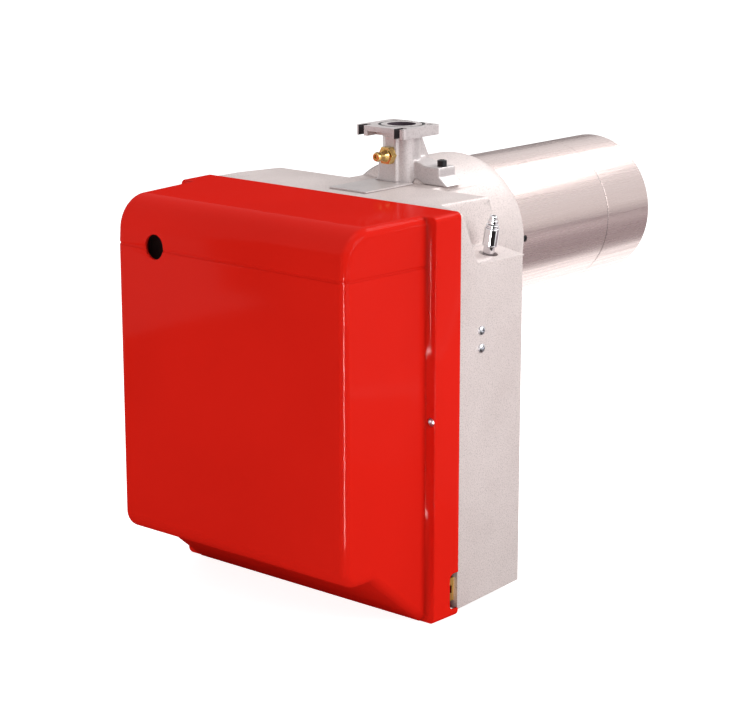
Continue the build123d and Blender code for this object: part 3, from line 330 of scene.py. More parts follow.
def bakeModifiers(thing):
    graph = bpy.context.evaluated_depsgraph_get()
    mesh = bpy.data.meshes.new_from_object(thing.evaluated_get(graph), preserve_all_data_layers=True,
                                           depsgraph=graph)
    old = thing.data
    thing.modifiers.clear()
    thing.data = mesh
    bpy.data.meshes.remove(old)


def smoothByAngle(thing, degrees=shading["sharp"]):
    for face in thing.data.polygons:
        face.use_smooth = True
    thing.data.set_sharp_from_angle(angle=math.radians(degrees))
    weighted = thing.modifiers.new("weighted", "WEIGHTED_NORMAL")
    weighted.keep_sharp = True
    weighted.mode = "FACE_AREA"
    bakeModifiers(thing)


def softenEdges(thing, width, degrees):
    soften = thing.modifiers.new("soften", "BEVEL")
    soften.width = width
    soften.segments = shading["edgeSteps"]
    soften.limit_method = "ANGLE"
    soften.angle_limit = math.radians(degrees)
    bakeModifiers(thing)


def standFor(thing, nodeName, replace=True):
    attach(thing, bodyOf[nodeName])
    if replace:
        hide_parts(nodeName)


def smoothCopy(nodeName, edge=0.0):
    thing = makeObject(nodeName + "Skin", toMesh(mergedMesh(nodeName), nodeName + "Skin"))
    setFinish(thing, slotFinish[slotOf[nodeName]])
    if edge:
        flatten = thing.modifiers.new("flatten", "DECIMATE")  # flat faces lose their triangles first
        flatten.decimate_type = "DISSOLVE"
        flatten.angle_limit = math.radians(shading["flat"])
        softenEdges(thing, edge, shading["edgeAngle"])
    smoothByAngle(thing)
    standFor(thing, nodeName)


def addFinish(thing, finishName, chosen):
    index = len(thing.data.materials)
    thing.data.materials.append(finishes[finishName])
    for face in thing.data.polygons:
        if chosen(face.center, face.normal):
            face.material_index = index


def roundedProfile(corners, steps=4):
    points = []  # a corner is (across, along) or (across, along, radius)
    for i, corner in enumerate(corners):
        here = Vector(corner[:2])
        radius = corner[2] if len(corner) > 2 else 0.0
        if not radius:
            points.append(here)
            continue
        before = Vector(corners[i - 1][:2]) - here
        after = Vector(corners[(i + 1) % len(corners)][:2]) - here
        half = before.angle(after) / 2
        reach = radius / math.tan(half)
        pull = 4 / 3 * math.tan((math.pi - 2 * half) / 4) * radius
        start = here + before.normalized() * reach
        end = here + after.normalized() * reach
        leave = start - before.normalized() * pull
        arrive = end - after.normalized() * pull
        for k in range(steps + 1):
            done = k / steps
            left = 1 - done
            points.append(start * left ** 3 + leave * 3 * done * left ** 2
                          + arrive * 3 * done * done * left + end * done ** 3)
    return points


def lathe(work, profile, place, axis, steps):
    turn = Vector((0, 0, 1)).rotation_difference(Vector(axis)).to_matrix()
    place = Vector(place)
    rings = []
    for radius, along in profile:
        ring = []
        for i in range(steps):
            angle = 2 * math.pi * i / steps
            spoke = Vector((radius * math.cos(angle), radius * math.sin(angle), along))
            ring.append(work.verts.new(place + turn @ spoke))
        rings.append(ring)
    for first, second in zip(rings, rings[1:] + rings[:1]):
        for i in range(steps):
            j = (i + 1) % steps
            work.faces.new((first[i], second[i], second[j], first[j]))


def turnedPiece(name, profiles, place, axis, nodeName, finishName=None, steps=64, replace=True):
    work = bmesh.new()
    for profile in profiles:
        lathe(work, roundedProfile(profile), place, axis, steps)
    bmesh.ops.recalc_face_normals(work, faces=work.faces)
    thing = makeObject(name, toMesh(work, name))
    setFinish(thing, finishName or slotFinish[slotOf[nodeName]])
    smoothByAngle(thing)
    standFor(thing, nodeName, replace)


# Helpers for the Geometry Nodes trees

def newGroup(name, inputs):
    group = bpy.data.node_groups.new(name, "GeometryNodeTree")
    for label, kind, value in inputs:
        socket = group.interface.new_socket(name=label, in_out="INPUT",
                                            socket_type="NodeSocket" + kind)
        if value is not None:
            socket.default_value = value
    group.interface.new_socket(name="Geometry", in_out="OUTPUT", socket_type="NodeSocketGeometry")
    return group, group.nodes.new("NodeGroupInput").outputs


def geo(group, kind, inputs=None, **settings):
    node = group.nodes.new(kind)
    for key, value in settings.items():
        setattr(node, key, value)
    for key, value in (inputs or {}).items():
        sources = value if isinstance(value, list) else [value]
        for source in sources:
            if isinstance(source, bpy.types.NodeSocket):
                group.links.new(source, node.inputs[key])
            else:
                node.inputs[key].default_value = source
    return node


def calc(group, operation, first, second=0.0):
    return geo(group, "ShaderNodeMath", {0: first, 1: second}, operation=operation).outputs[0]


def vector(group, x=0.0, y=0.0, z=0.0):
    return geo(group, "ShaderNodeCombineXYZ", {0: x, 1: y, 2: z}).outputs[0]


def closeGroup(group, source, finish):
    real = geo(group, "GeometryNodeRealizeInstances", {"Geometry": source})
    paint = geo(group, "GeometryNodeSetMaterial", {"Geometry": real.outputs[0], "Material": finish})
    leave = group.nodes.new("NodeGroupOutput")
    group.links.new(paint.outputs[0], leave.inputs["Geometry"])


def growMesh(group, name, values, points=None):
    carrier = makeObject(name + "Carrier", points or bpy.data.meshes.new(name + "Empty"))
    grow = carrier.modifiers.new("grow", "NODES")
    grow.node_group = group
    for item in group.interface.items_tree:
        if item.item_type == "SOCKET" and item.in_out == "INPUT" and item.name in values:
            grow[item.identifier] = values[item.name]
    graph = bpy.context.evaluated_depsgraph_get()
    mesh = bpy.data.meshes.new_from_object(carrier.evaluated_get(graph), preserve_all_data_layers=True,
                                           depsgraph=graph)
    carrier.modifiers.remove(grow)
    bpy.data.objects.remove(carrier)
    mesh.name = name
    return mesh


def pointMesh(name, places, axes):
    mesh = bpy.data.meshes.new(name)
    mesh.from_pydata(places, [], [])
    direction = mesh.attributes.new("axis", "FLOAT_VECTOR", "POINT")
    for i, axis in enumerate(axes):
        direction.data[i].vector = axis
    return mesh


def islandsOf(nodeName):
    work = mergedMesh(nodeName)
    seen = set()
    islands = []
    for start in work.verts:
        if start in seen:
            continue
        seen.add(start)
        queue = [start]
        island = []
        while queue:
            corner = queue.pop()
            island.append(corner.co.copy())
            for edge in corner.link_edges:
                other = edge.other_vert(corner)
                if other not in seen:
                    seen.add(other)
                    queue.append(other)
        islands.append(island)
    work.free()
    return islands


# Screws: one tree for the cross recess and one for the hexagon socket.
# The recess's three sizes are shares of the head's width and height.

screwShape = {"sides": 32, "rings": 4, "shankSides": 24, "domePower": 4.0, "dome": 0.45,
              "socketDome": 0.12, "recessAcross": 0.58, "recessWidth": 0.13, "recessDepth": 0.55,
              "sharp": 30.0}


def recessTool(group, given, hexagonSocket):
    deep = calc(group, "MULTIPLY", given["recessDepth"], 2.0)  # half of it stands above the head
    if hexagonSocket:
        across = calc(group, "MULTIPLY", given["recessAcross"], 0.5)
        sizes = {"Vertices": 6, "Depth": deep, "Radius": across}
        return geo(group, "GeometryNodeMeshCylinder", sizes).outputs[0]
    bars = [geo(group, "GeometryNodeMeshCube", {"Size": vector(group, *size)}).outputs[0]
            for size in ((given["recessAcross"], given["recessWidth"], deep),
                         (given["recessWidth"], given["recessAcross"], deep))]
    return geo(group, "GeometryNodeMeshBoolean", {"Mesh 2": bars}, operation="UNION",
               solver="EXACT").outputs[0]


def screwHead(group, given):
    head = geo(group, "GeometryNodeMeshCylinder", {
        "Vertices": screwShape["sides"], "Side Segments": screwShape["rings"],
        "Fill Segments": screwShape["rings"], "Radius": given["headRadius"], "Depth": given["headHeight"]})
    lift = vector(group, z=calc(group, "MULTIPLY", given["headHeight"], 0.5))
    head = geo(group, "GeometryNodeTransform", {"Geometry": head.outputs[0], "Translation": lift})
    # the dome: a point drops the more, the nearer it is to the rim
    place = geo(group, "ShaderNodeSeparateXYZ", {0: geo(group, "GeometryNodeInputPosition").outputs[0]})
    flat = vector(group, place.outputs[0], place.outputs[1])
    reach = geo(group, "ShaderNodeVectorMath", {0: flat}, operation="LENGTH").outputs["Value"]
    outward = calc(group, "DIVIDE", reach, given["headRadius"])
    ratio = calc(group, "POWER", outward, screwShape["domePower"])
    drop = calc(group, "MULTIPLY", calc(group, "MULTIPLY", ratio, given["dome"]), place.outputs[2])
    down = vector(group, z=calc(group, "MULTIPLY", drop, -1.0))
    return geo(group, "GeometryNodeSetPosition", {"Geometry": head.outputs[0], "Offset": down}).outputs[0]


def screwGroup(name, hexagonSocket):
    group, given = newGroup(name, [
        ("Points", "Geometry", None), ("headRadius", "Float", 0.004), ("headHeight", "Float", 0.003),
        ("dome", "Float", 0.4), ("shankRadius", "Float", 0.002), ("shankLength", "Float", 0.01),
        ("recessAcross", "Float", 0.004), ("recessWidth", "Float", 0.001),
        ("recessDepth", "Float", 0.001), ("finish", "Material", None)])
    top = vector(group, z=given["headHeight"])
    tool = geo(group, "GeometryNodeTransform",
               {"Geometry": recessTool(group, given, hexagonSocket), "Translation": top})
    head = geo(group, "GeometryNodeMeshBoolean",
               {"Mesh 1": screwHead(group, given), "Mesh 2": tool.outputs[0]},
               operation="DIFFERENCE", solver="EXACT")
    shank = geo(group, "GeometryNodeMeshCylinder", {
        "Vertices": screwShape["shankSides"], "Radius": given["shankRadius"],
        "Depth": given["shankLength"]})
    sink = vector(group, z=calc(group, "MULTIPLY", given["shankLength"], -0.5))
    shank = geo(group, "GeometryNodeTransform", {"Geometry": shank.outputs[0], "Translation": sink})
    screw = geo(group, "GeometryNodeJoinGeometry", {"Geometry": [head.outputs[0], shank.outputs[0]]})
    axis = geo(group, "GeometryNodeInputNamedAttribute", {"Name": "axis"}, data_type="FLOAT_VECTOR")
    turn = geo(group, "FunctionNodeAlignRotationToVector", {"Vector": axis.outputs[0]}, axis="Z")
    screws = geo(group, "GeometryNodeInstanceOnPoints",
                 {"Points": given["Points"], "Instance": screw.outputs[0], "Rotation": turn.outputs[0]})
    closeGroup(group, screws.outputs[0], given["finish"])
    return group


crossScrew = screwGroup("crossScrew", False)
socketScrew = screwGroup("socketScrew", True)
screwSets = {  # millimetres; without an axis the screws point away from the tube's axis
    "cover_screws": {"axis": (0, -1, 0), "head": 7.6, "height": 2.8, "shank": 4.0, "finish": "zincPlate"},
    "side_screws": {"axis": (1, 0, 0), "head": 7.6, "height": 2.6, "shank": 4.8, "finish": "zincPlate"},
    "air_box_screws": {"axis": (0, 1, 0), "head": 9.0, "height": 3.0, "shank": 4.0, "finish": "blackOxide"},
    "motor_screws": {"axis": (0, -1, 0), "head": 8.0, "height": 3.0, "shank": 3.0, "finish": "zincPlate"},
    "tube_screws": {"axis": None, "head": 6.0, "height": 1.4, "shank": 3.0, "finish": "blackOxide"},
    "plate_screws": {"axis": (0, -1, 0), "head": 10.0, "height": 6.0, "shank": 5.6, "finish": "blackOxide",
                     "socket": True},
    "lug_screw": {"axis": (0, 0, 1), "head": 8.7, "height": 6.0, "shank": 5.8, "finish": "blackOxide",
                  "socket": True},
}


def screwPlace(island, look):
    middle = sum(island, Vector()) / len(island)
    axis = Vector(look["axis"] or (middle.x, 0.0, middle.z)).normalized()
    if look["axis"]:
        lows = Vector([min(point[k] for point in island) for k in range(3)])
        highs = Vector([max(point[k] for point in island) for k in range(3)])
        middle = (lows + highs) / 2
    alongs = [point.dot(axis) for point in island]
    seat = max(alongs) - look["height"] * mm  # the head's underside
    return middle - axis * middle.dot(axis) + axis * seat, axis, seat - min(alongs)


def makeScrews(nodeName, look):
    places, axes, lengths = zip(*(screwPlace(island, look) for island in islandsOf(nodeName)))
    isSocket = look.get("socket", False)
    head, height = look["head"] * mm, look["height"] * mm
    sizes = {
        "headRadius": head / 2, "headHeight": height, "shankRadius": look["shank"] * mm / 2,
        "dome": screwShape["socketDome"] if isSocket else screwShape["dome"], "shankLength": lengths[-1],
        "recessAcross": head * screwShape["recessAcross"], "recessWidth": head * screwShape["recessWidth"],
        "recessDepth": height * screwShape["recessDepth"], "finish": finishes[look["finish"]]}
    mesh = growMesh(socketScrew if isSocket else crossScrew, nodeName + "Set", sizes,
                    pointMesh(nodeName + "Points", places, axes))
    thing = makeObject(nodeName + "Set", mesh)
    print(nodeName, len(places), "screws,", len(mesh.vertices), "points")
    smoothByAngle(thing, screwShape["sharp"])
    standFor(thing, nodeName)


for nodeName, look in screwSets.items():
    makeScrews(nodeName, look)
print("screws made:", len(screwSets), "sets")


# Blast tube: the rolled tube is a section swept round a circle, its end piece is turned

tubeSizes = {"outerRadius": 68.5 * mm, "wall": 1.5 * mm, "edge": 0.7 * mm, "around": 256, "screwHoles": 3,
             "holeRadius": 3.2 * mm, "holeFromEnd": 4.5 * mm, "drillSides": 32, "sharp": 40.0}
mouth = {"lip": 2.0 * mm, "opening": 56.0 * mm, "cone": 34.0 * mm, "collar": 12.0 * mm, "seam": 0.8 * mm,
         "seamDepth": 0.6 * mm, "seamTop": 0.25 * mm, "slip": 0.05 * mm, "rimEdge": 0.8 * mm,
         "lipEdge": 0.6 * mm, "coneEdge": 4.0 * mm, "collarEdge": 0.4 * mm, "steps": 192}


def screwDrills(group, given, halfLength):
    spots = geo(group, "GeometryNodeMeshCircle", {"Vertices": given["screwHoles"],
                                                  "Radius": given["outerRadius"]})
    drill = geo(group, "GeometryNodeMeshCylinder", {
        "Vertices": tubeSizes["drillSides"], "Radius": given["holeRadius"],
        "Depth": calc(group, "MULTIPLY", given["wall"], 4.0)})  # well through the wall
    outward = geo(group, "FunctionNodeAlignRotationToVector",
                  {"Vector": geo(group, "GeometryNodeInputPosition").outputs[0]}, axis="Z")
    drills = geo(group, "GeometryNodeInstanceOnPoints", {
        "Points": spots.outputs[0], "Instance": drill.outputs[0], "Rotation": outward.outputs[0]})
    along = vector(group, z=calc(group, "SUBTRACT", given["holeFromEnd"], halfLength))
    drills = geo(group, "GeometryNodeTransform", {"Geometry": drills.outputs[0], "Translation": along})
    return geo(group, "GeometryNodeRealizeInstances", {"Geometry": drills.outputs[0]}).outputs[0]


def tubeGroup():
    group, given = newGroup("rolledTube", [
        ("outerRadius", "Float", 0.0685), ("wall", "Float", 0.0015), ("length", "Float", 0.136),
        ("start", "Float", 0.0), ("edge", "Float", 0.0003), ("around", "Int", 256),
        ("screwHoles", "Int", 3), ("holeRadius", "Float", 0.0032), ("holeFromEnd", "Float", 0.0045),
        ("finish", "Material", None)])
    halfLength = calc(group, "MULTIPLY", given["length"], 0.5)
    halfWall = calc(group, "MULTIPLY", given["wall"], 0.5)
    section = geo(group, "GeometryNodeCurvePrimitiveQuadrilateral",
                  {"Width": given["wall"], "Height": given["length"]})
    section = geo(group, "GeometryNodeFilletCurve", {"Curve": section.outputs[0], "Radius": given["edge"]})
    rail = geo(group, "GeometryNodeCurvePrimitiveCircle", {
        "Resolution": given["around"], "Radius": calc(group, "SUBTRACT", given["outerRadius"], halfWall)})
    upright = geo(group, "GeometryNodeSetCurveNormal", {"Curve": rail.outputs[0]}, mode="Z_UP")
    tube = geo(group, "GeometryNodeCurveToMesh", {"Curve": upright.outputs[0],
                                                  "Profile Curve": section.outputs[0]})
    tube = geo(group, "GeometryNodeMeshBoolean",
               {"Mesh 1": tube.outputs[0], "Mesh 2": screwDrills(group, given, halfLength)},
               operation="DIFFERENCE", solver="EXACT")
    middle = vector(group, y=calc(group, "ADD", given["start"], halfLength))
    tube = geo(group, "GeometryNodeTransform", {  # laid down along +Y
        "Geometry": tube.outputs[0], "Translation": middle, "Rotation": (math.radians(-90.0), 0.0, 0.0)})
    closeGroup(group, tube.outputs[0], given["finish"])
    return group


def makeRolledTube(startY, endY):
    sizes = dict(tubeSizes, start=startY, length=endY - startY, finish=finishes["brushedTube"])
    tube = makeObject("rolledTube", growMesh(tubeGroup(), "rolledTube", sizes))
    smoothByAngle(tube, tubeSizes["sharp"])
    standFor(tube, "blast_tube")


def makeTubeEnd(seamY, endY):
    outer = tubeSizes["outerRadius"]
    throat = outer - 2 * tubeSizes["wall"]
    plug = outer - tubeSizes["wall"] - mouth["slip"]  # slides into the rolled tube
    collarY = seamY - mouth["collar"]
    turnedPiece("tubeEnd", [[
        (outer, seamY, mouth["seam"]), (outer, endY, mouth["lip"]),
        (mouth["opening"], endY, mouth["rimEdge"]),
        (mouth["opening"], endY - mouth["lip"], mouth["lipEdge"]),
        (throat, endY - mouth["cone"], mouth["coneEdge"]), (throat, collarY),
        (plug, collarY, mouth["collarEdge"]), (plug, seamY)]],
        (0, 0, 0), (0, 1, 0), "tube_end", steps=mouth["steps"])
    # a thin ring in painted shade fills the bottom of the seam groove, dark where the groove's shade falls
    low, high = outer - mouth["seamDepth"], outer - mouth["seamTop"]
    turnedPiece("tubeSeamShade", [[
        (low, seamY - mouth["seam"]), (high, seamY - mouth["seam"]),
        (high, seamY + mouth["seam"]), (low, seamY + mouth["seam"])]],
        (0, 0, 0), (0, 1, 0), "tube_end", "paintedSlotShade", steps=mouth["steps"], replace=False)


tubeLow, tubeHigh = (Vector(corner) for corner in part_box("blast_tube"))
endLow, endHigh = (Vector(corner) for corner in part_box("tube_end"))
makeRolledTube(tubeLow.y, tubeHigh.y)
makeTubeEnd(tubeHigh.y, endHigh.y)
print("blast tube made")


# Gas elbow: cast body with soft inside corners under a machined flange

elbow = {"voxel": 0.8 * mm, "rounds": 8, "smoothing": 0.5, "castSharp": 50.0, "flangeSharp": 40.0,
         "flangeFrom": 100.9 * mm, "overlap": 0.4 * mm, "edge": 0.35 * mm, "boreRadius": 14.0 * mm,
         "boreY": -91.0 * mm, "boreRim": 0.6 * mm, "slotHalf": 3.5 * mm, "slotX": 21.0 * mm,
         "slotEnd": -109.0 * mm, "upright": 0.6, "frontFacing": -0.7}


def cutAcross(work, height, keepUpper):
    geometry = list(work.verts) + list(work.edges) + list(work.faces)
    result = bmesh.ops.bisect_plane(work, geom=geometry, plane_co=(0, 0, height), plane_no=(0, 0, 1),
                                    clear_inner=keepUpper, clear_outer=not keepUpper)
    rim = [item for item in result["geom_cut"] if isinstance(item, bmesh.types.BMEdge)]
    bmesh.ops.holes_fill(work, edges=rim)
    bmesh.ops.recalc_face_normals(work, faces=work.faces)


# faces inside the elbow's bore, which take painted shade
def inBore(centre, normal):
    isNear = math.hypot(centre.x, centre.y - elbow["boreY"]) < elbow["boreRadius"]
    return isNear and centre.z < cadHigh[2] - elbow["boreRim"]


# side walls of the flange slots, which take painted shade
def inSlot(centre, normal):
    isNear = abs(abs(centre.x) - elbow["slotX"]) < elbow["slotHalf"] and centre.y < elbow["slotEnd"]
    return isNear and abs(normal.z) < elbow["upright"] and normal.y > elbow["frontFacing"]


def makeCastPart():
    thing = makeObject("elbowCasting", toMesh(mergedMesh("gas_elbow"), "elbowCasting"))
    remesh = thing.modifiers.new("remesh", "REMESH")
    remesh.mode = "VOXEL"
    remesh.voxel_size = elbow["voxel"]
    bakeModifiers(thing)
    work = bmesh.new()
    work.from_mesh(thing.data)
    cast = [vert for vert in work.verts if vert.co.z < elbow["flangeFrom"] - elbow["overlap"]]
    for _ in range(elbow["rounds"]):
        bmesh.ops.smooth_vert(work, verts=cast, factor=elbow["smoothing"], use_axis_x=True,
                              use_axis_y=True, use_axis_z=True)
    cutAcross(work, elbow["flangeFrom"], False)
    work.to_mesh(thing.data)
    work.free()
    setFinish(thing, "dieCastAluminium")
    smoothByAngle(thing, elbow["castSharp"])
    # painted shade inside the bore
    addFinish(thing, "paintedBoreShade", inBore)
    standFor(thing, "gas_elbow", replace=False)


def makeFlange():
    work = mergedMesh("gas_elbow")
    cutAcross(work, elbow["flangeFrom"] - elbow["overlap"], True)
    thing = makeObject("elbowFlange", toMesh(work, "elbowFlange"))
    setFinish(thing, "dieCastAluminium")
    softenEdges(thing, elbow["edge"], elbow["flangeSharp"])
    smoothByAngle(thing)
    # painted shade inside the bore
    addFinish(thing, "paintedBoreShade", inBore)
    # painted shade on the walls of the flange slots
    addFinish(thing, "paintedSlotShade", inSlot)
    standFor(thing, "gas_elbow")


makeCastPart()
makeFlange()
smoothCopy("flange_seal")
smoothCopy("test_nipple", edge=0.35 * mm)
smoothCopy("nipple_screw", edge=0.3 * mm)
smoothCopy("slot_cover", edge=0.3 * mm)
print("gas elbow made")


# Damper adjuster: bright turned fitting with a polished barrel, square to the sloping shelf.
# Its sizes are in millimetres.

adjuster = {"shelfSlope": 9.0, "x": 132.0, "y": -130.0, "shelfZ": 11.7, "fromShelfEdge": 17.0, "foot": 0.3,
            "bore": 2.55, "stem": 5.0, "stemLength": 7.0, "barrel": 6.5, "barrelLength": 16.0,
            "endRing": 1.3, "groove": 0.3, "bandInset": 0.02, "ring": 5.5, "ringLength": 3.0,
            "ringCut": 0.5, "cutStart": 1.2, "cutMiddle": 1.5, "cutEnd": 1.8, "skirt": 11.0,
            "skirtTop": -6.2, "skirtBottom": -14.0, "skirtGap": 1.0,
            "edges": {"foot": 0.2, "stem": 0.4, "barrel": 0.5, "groove": 0.15, "band": 0.1, "ring": 0.4,
                      "cut": 0.2, "skirt": 0.5}}
shelfSlope = math.radians(adjuster["shelfSlope"])
shelfRise = adjuster["fromShelfEdge"] * math.tan(shelfSlope)
adjusterAxis = Vector((math.sin(shelfSlope), 0.0, math.cos(shelfSlope)))
adjusterFoot = Vector((adjuster["x"], adjuster["y"], adjuster["shelfZ"] + shelfRise)) * mm


def scaled(points):
    return [tuple(value * mm for value in point) for point in points]


def makeAdjuster(sizes):
    edges = sizes["edges"]
    bore, stem, barrel, ring, foot = (sizes[key] for key in ("bore", "stem", "barrel", "ring", "foot"))
    stemTop = sizes["stemLength"]
    top = stemTop + sizes["barrelLength"]
    low, high = stemTop + sizes["endRing"], top - sizes["endRing"]
    waist = barrel - sizes["groove"]
    sleeve = scaled([
        (bore, foot), (stem, foot, edges["foot"]), (stem, stemTop, edges["stem"]),
        (barrel, stemTop, edges["barrel"]), (barrel, low, edges["groove"]), (waist, low), (waist, high),
        (barrel, high, edges["groove"]), (barrel, top, edges["barrel"]), (bore, top)])
    inside = bore + sizes["skirtGap"]
    skirt = scaled([
        (inside, sizes["skirtBottom"]), (sizes["skirt"], sizes["skirtBottom"], edges["skirt"]),
        (sizes["skirt"], sizes["skirtTop"], edges["skirt"]), (stem, sizes["skirtTop"]),
        (stem, foot), (inside, foot)])
    turnedPiece("adjusterSleeve", [sleeve, skirt], adjusterFoot, adjusterAxis, "adjuster_sleeve")
    skin = barrel - sizes["bandInset"]
    band = scaled([(waist, low), (skin, low, edges["band"]), (skin, high, edges["band"]), (waist, high)])
    turnedPiece("adjusterBarrel", [band], adjusterFoot, adjusterAxis, "adjuster_sleeve", "mirrorChrome",
                replace=False)
    crown = top + sizes["ringLength"]
    lockRing = scaled([
        (bore, top), (ring, top, edges["ring"]), (ring, top + sizes["cutStart"], edges["cut"]),
        (ring - sizes["ringCut"], top + sizes["cutMiddle"]), (ring, top + sizes["cutEnd"], edges["cut"]),
        (ring, crown, edges["ring"]), (bore, crown)])
    turnedPiece("adjusterLockRing", [lockRing], adjusterFoot, adjusterAxis, "adjuster_lock_ring")


makeAdjuster(adjuster)
smoothCopy("adjuster_spindle", edge=0.25 * mm)
smoothCopy("adjuster_plunger")
print("damper adjuster made")


# The rest keeps its CAD shape with soft shading and, where it catches the light, a broken edge

edgeOf = {  # millimetres
    "catch_plate": 0.2, "motor_plate": 0.0, "motor_end_shield": 0.0, "motor_body": 0.0,
    "motor_shaft": 0.0, "motor_rotor": 0.0, "inlet_ring": 0.0, "air_box": 0.6, "damper_flap": 0.0,
    "damper_shaft": 0.3, "gas_pipe": 0.0, "gas_nozzle": 0.3, "diffuser_disc": 0.0,
    "ignition_insulator": 0.3, "ignition_wire": 0.0, "flame_insulator": 0.3, "flame_wire": 0.0,
    "electrode_clamp": 0.4, "control_base": 0.4, "control_box": 0.6, "reset_button": 0.0,
    "pressure_switch": 0.6, "pressure_dial": 0.3, "capacitor": 0.0, "capacitor_clip": 0.3,
    "mains_socket": 0.4, "fan_housing": 0.0, "front_cover": 0.0,
}
for nodeName, edge in edgeOf.items():
    smoothCopy(nodeName, edge=edge * mm)
print("smooth copies:", len(edgeOf))


# Studio

studio = {"underObject": 0.2 * mm, "floorHalf": 9.0, "floorColour": 0.80, "floorRough": 0.9,
          "floorGlow": 0.86, "sky": 0.40}


def whiteWhereSeen(tree):
    path = tree.nodes.new("ShaderNodeLightPath")
    seen = path.outputs["Is Camera Ray"]
    for name in ("Is Glossy Ray", "Is Transmission Ray"):
        either = tree.nodes.new("ShaderNodeMath")
        either.operation = "MAXIMUM"
        tree.links.new(seen, either.inputs[0])
        tree.links.new(path.outputs[name], either.inputs[1])
        seen = either.outputs[0]
    return seen


def makeWorld():
    world = bpy.data.worlds.new("studioWorld")
    world.use_nodes = True
    tree = world.node_tree
    back = tree.nodes["Background"]
    sky = studio["sky"]
    colour = mixColour(tree, whiteWhereSeen(tree), (sky, sky, sky), (1.0, 1.0, 1.0))
    tree.links.new(colour, back.inputs["Color"])
    back.inputs["Strength"].default_value = 1.0
    bpy.context.scene.world = world


def makeFloor():
    mesh = bpy.data.meshes.new("studioFloor")
    half = studio["floorHalf"]
    level = cadLow[2] - studio["underObject"]
    corners = [(-half, -half, level), (half, -half, level), (half, half, level), (-half, half, level)]
    mesh.from_pydata(corners, [], [(0, 1, 2, 3)])
    floor = makeObject("studioFloor", mesh)
    material, tree, shader = newMaterial("floorWhite")
    tone = studio["floorColour"]
    shader.inputs["Base Color"].default_value = (tone, tone, tone, 1.0)
    shader.inputs["Roughness"].default_value = studio["floorRough"]
    shader.inputs["Specular IOR Level"].default_value = 0.0
    shader.inputs["Emission Color"].default_value = (1.0, 1.0, 1.0, 1.0)
    glow = tree.nodes.new("ShaderNodeMath")
    glow.operation = "MULTIPLY"
    tree.links.new(whiteWhereSeen(tree), glow.inputs[0])
    glow.inputs[1].default_value = studio["floorGlow"]
    tree.links.new(glow.outputs[0], shader.inputs["Emission Strength"])
    mesh.materials.append(material)


# Flags are dark cards and floor patches that only mirror-like surfaces see

flagTint = (1.0, 0.86, 0.90)
flags = {
    "frontFlag": {"place": (0.25, -1.0, 0.12), "aim": (0.05, 0.0, 0.12), "size": (2.4, 0.8), "tone": 0.02},
    "backLeftFlag": {"place": (-1.55, 1.75, 0.2), "aim": (0.0, 0.0, 0.2), "size": (2.6, 1.0), "tone": 0.20},
    "frontFloorFlag": {"place": (0.25, -0.65, -0.2935), "aim": (0.25, -0.65, 1.0), "size": (2.2, 1.5),
                       "tone": 0.03},
    "nearFloorFlag": {"place": (0.45, 0.80, -0.2935), "aim": (0.45, 0.80, 1.0), "size": (0.62, 1.5),
                      "tone": 0.42},
    "farFloorFlag": {"place": (2.5, 2.7, -0.2935), "aim": (2.5, 2.7, 1.0), "size": (3.4, 4.9),
                     "tone": 0.75},
}


def makeFlag(name, look):
    place, aim = Vector(look["place"]), Vector(look["aim"])
    turn = (aim - place).to_track_quat("Z", "Y")
    width, height = look["size"]
    corners = [(-width, -height), (width, -height), (width, height), (-width, height)]
    mesh = bpy.data.meshes.new(name)
    mesh.from_pydata([place + turn @ Vector((x / 2, y / 2, 0.0)) for x, y in corners], [], [(0, 1, 2, 3)])
    flag = makeObject(name, mesh)
    material, _, shader = newMaterial(name)
    shader.inputs["Base Color"].default_value = (*(look["tone"] * tint for tint in flagTint), 1.0)
    shader.inputs["Roughness"].default_value = 1.0
    shader.inputs["Specular IOR Level"].default_value = 0.0
    mesh.materials.append(material)
    flag.visible_camera = False
    flag.visible_diffuse = False
    flag.visible_shadow = False


# Lamps are soft boxes, and their glow is the brightness that a mirror shows

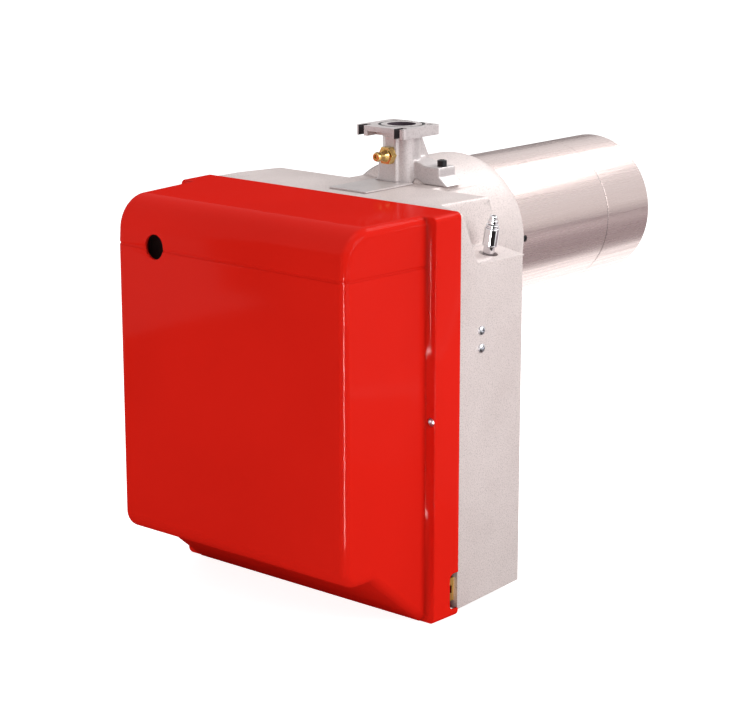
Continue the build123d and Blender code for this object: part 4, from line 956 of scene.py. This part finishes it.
lamps = {
    "rightBox": {"place": (2.1, 0.2, 0.9), "aim": (0.1, -0.2, -0.1), "size": (1.2, 1.5), "glow": 4.8},
    "backTopBox": {"place": (0.35, 1.25, 1.35), "aim": (0.0, -0.1, 0.05), "size": (1.1, 0.7), "glow": 6.2},
    "frontBox": {"place": (-0.2, -2.6, 0.25), "aim": (0.0, -0.3, -0.15), "size": (1.4, 0.9), "glow": 4.0},
    "topBox": {"place": (0.3, -0.5, 2.0), "aim": (0.0, -0.15, 0.0), "size": (1.3, 1.0), "glow": 1.7},
    "edgeStrip": {"place": (0.33, -0.503, -0.16), "aim": (0.131, -0.317, -0.11), "size": (0.05, 0.26),
                  "glow": 70.0, "mirrorOnly": True},
}


def softLight(name, look):
    data = bpy.data.lights.new(name, "AREA")
    data.shape = "RECTANGLE"
    data.size, data.size_y = look["size"]
    data.energy = look["glow"] * math.pi * look["size"][0] * look["size"][1]
    lamp = bpy.data.objects.new(name, data)
    bpy.context.scene.collection.objects.link(lamp)
    lamp.location = look["place"]
    lamp.rotation_mode = "QUATERNION"
    lamp.rotation_quaternion = (Vector(look["aim"]) - Vector(look["place"])).to_track_quat("-Z", "Y")
    lamp.visible_camera = False
    if look.get("mirrorOnly"):
        lamp.visible_diffuse = False


# Camera: the photograph's view, with its place in metres and its lens in millimetres

camera = {"place": (1.31357, -1.62877, 0.39043), "azimuth": 41.18, "elevation": 13.94, "lens": 108.48,
          "sensor": 36.0, "near": 0.05, "far": 60.0}


def makeCamera():
    azimuth, elevation = math.radians(camera["azimuth"]), math.radians(camera["elevation"])
    forward = Vector((-math.sin(azimuth) * math.cos(elevation), math.cos(azimuth) * math.cos(elevation),
                      -math.sin(elevation)))
    right = Vector((math.cos(azimuth), math.sin(azimuth), 0.0))
    up = right.cross(forward)
    data = bpy.data.cameras.new("photoCamera")
    data.lens = camera["lens"]
    data.sensor_width = camera["sensor"]
    data.clip_start = camera["near"]
    data.clip_end = camera["far"]
    thing = bpy.data.objects.new("photoCamera", data)
    bpy.context.scene.collection.objects.link(thing)
    thing.matrix_world = (Matrix.Translation(Vector(camera["place"]))
                          @ Matrix((right, up, -forward)).transposed().to_4x4())
    bpy.context.scene.camera = thing


makeWorld()
makeFloor()
for name, look in lamps.items():
    softLight(name, look)
for name, look in flags.items():
    makeFlag(name, look)
makeCamera()
bpy.context.scene.view_settings.view_transform = "Standard"
print("studio ready")
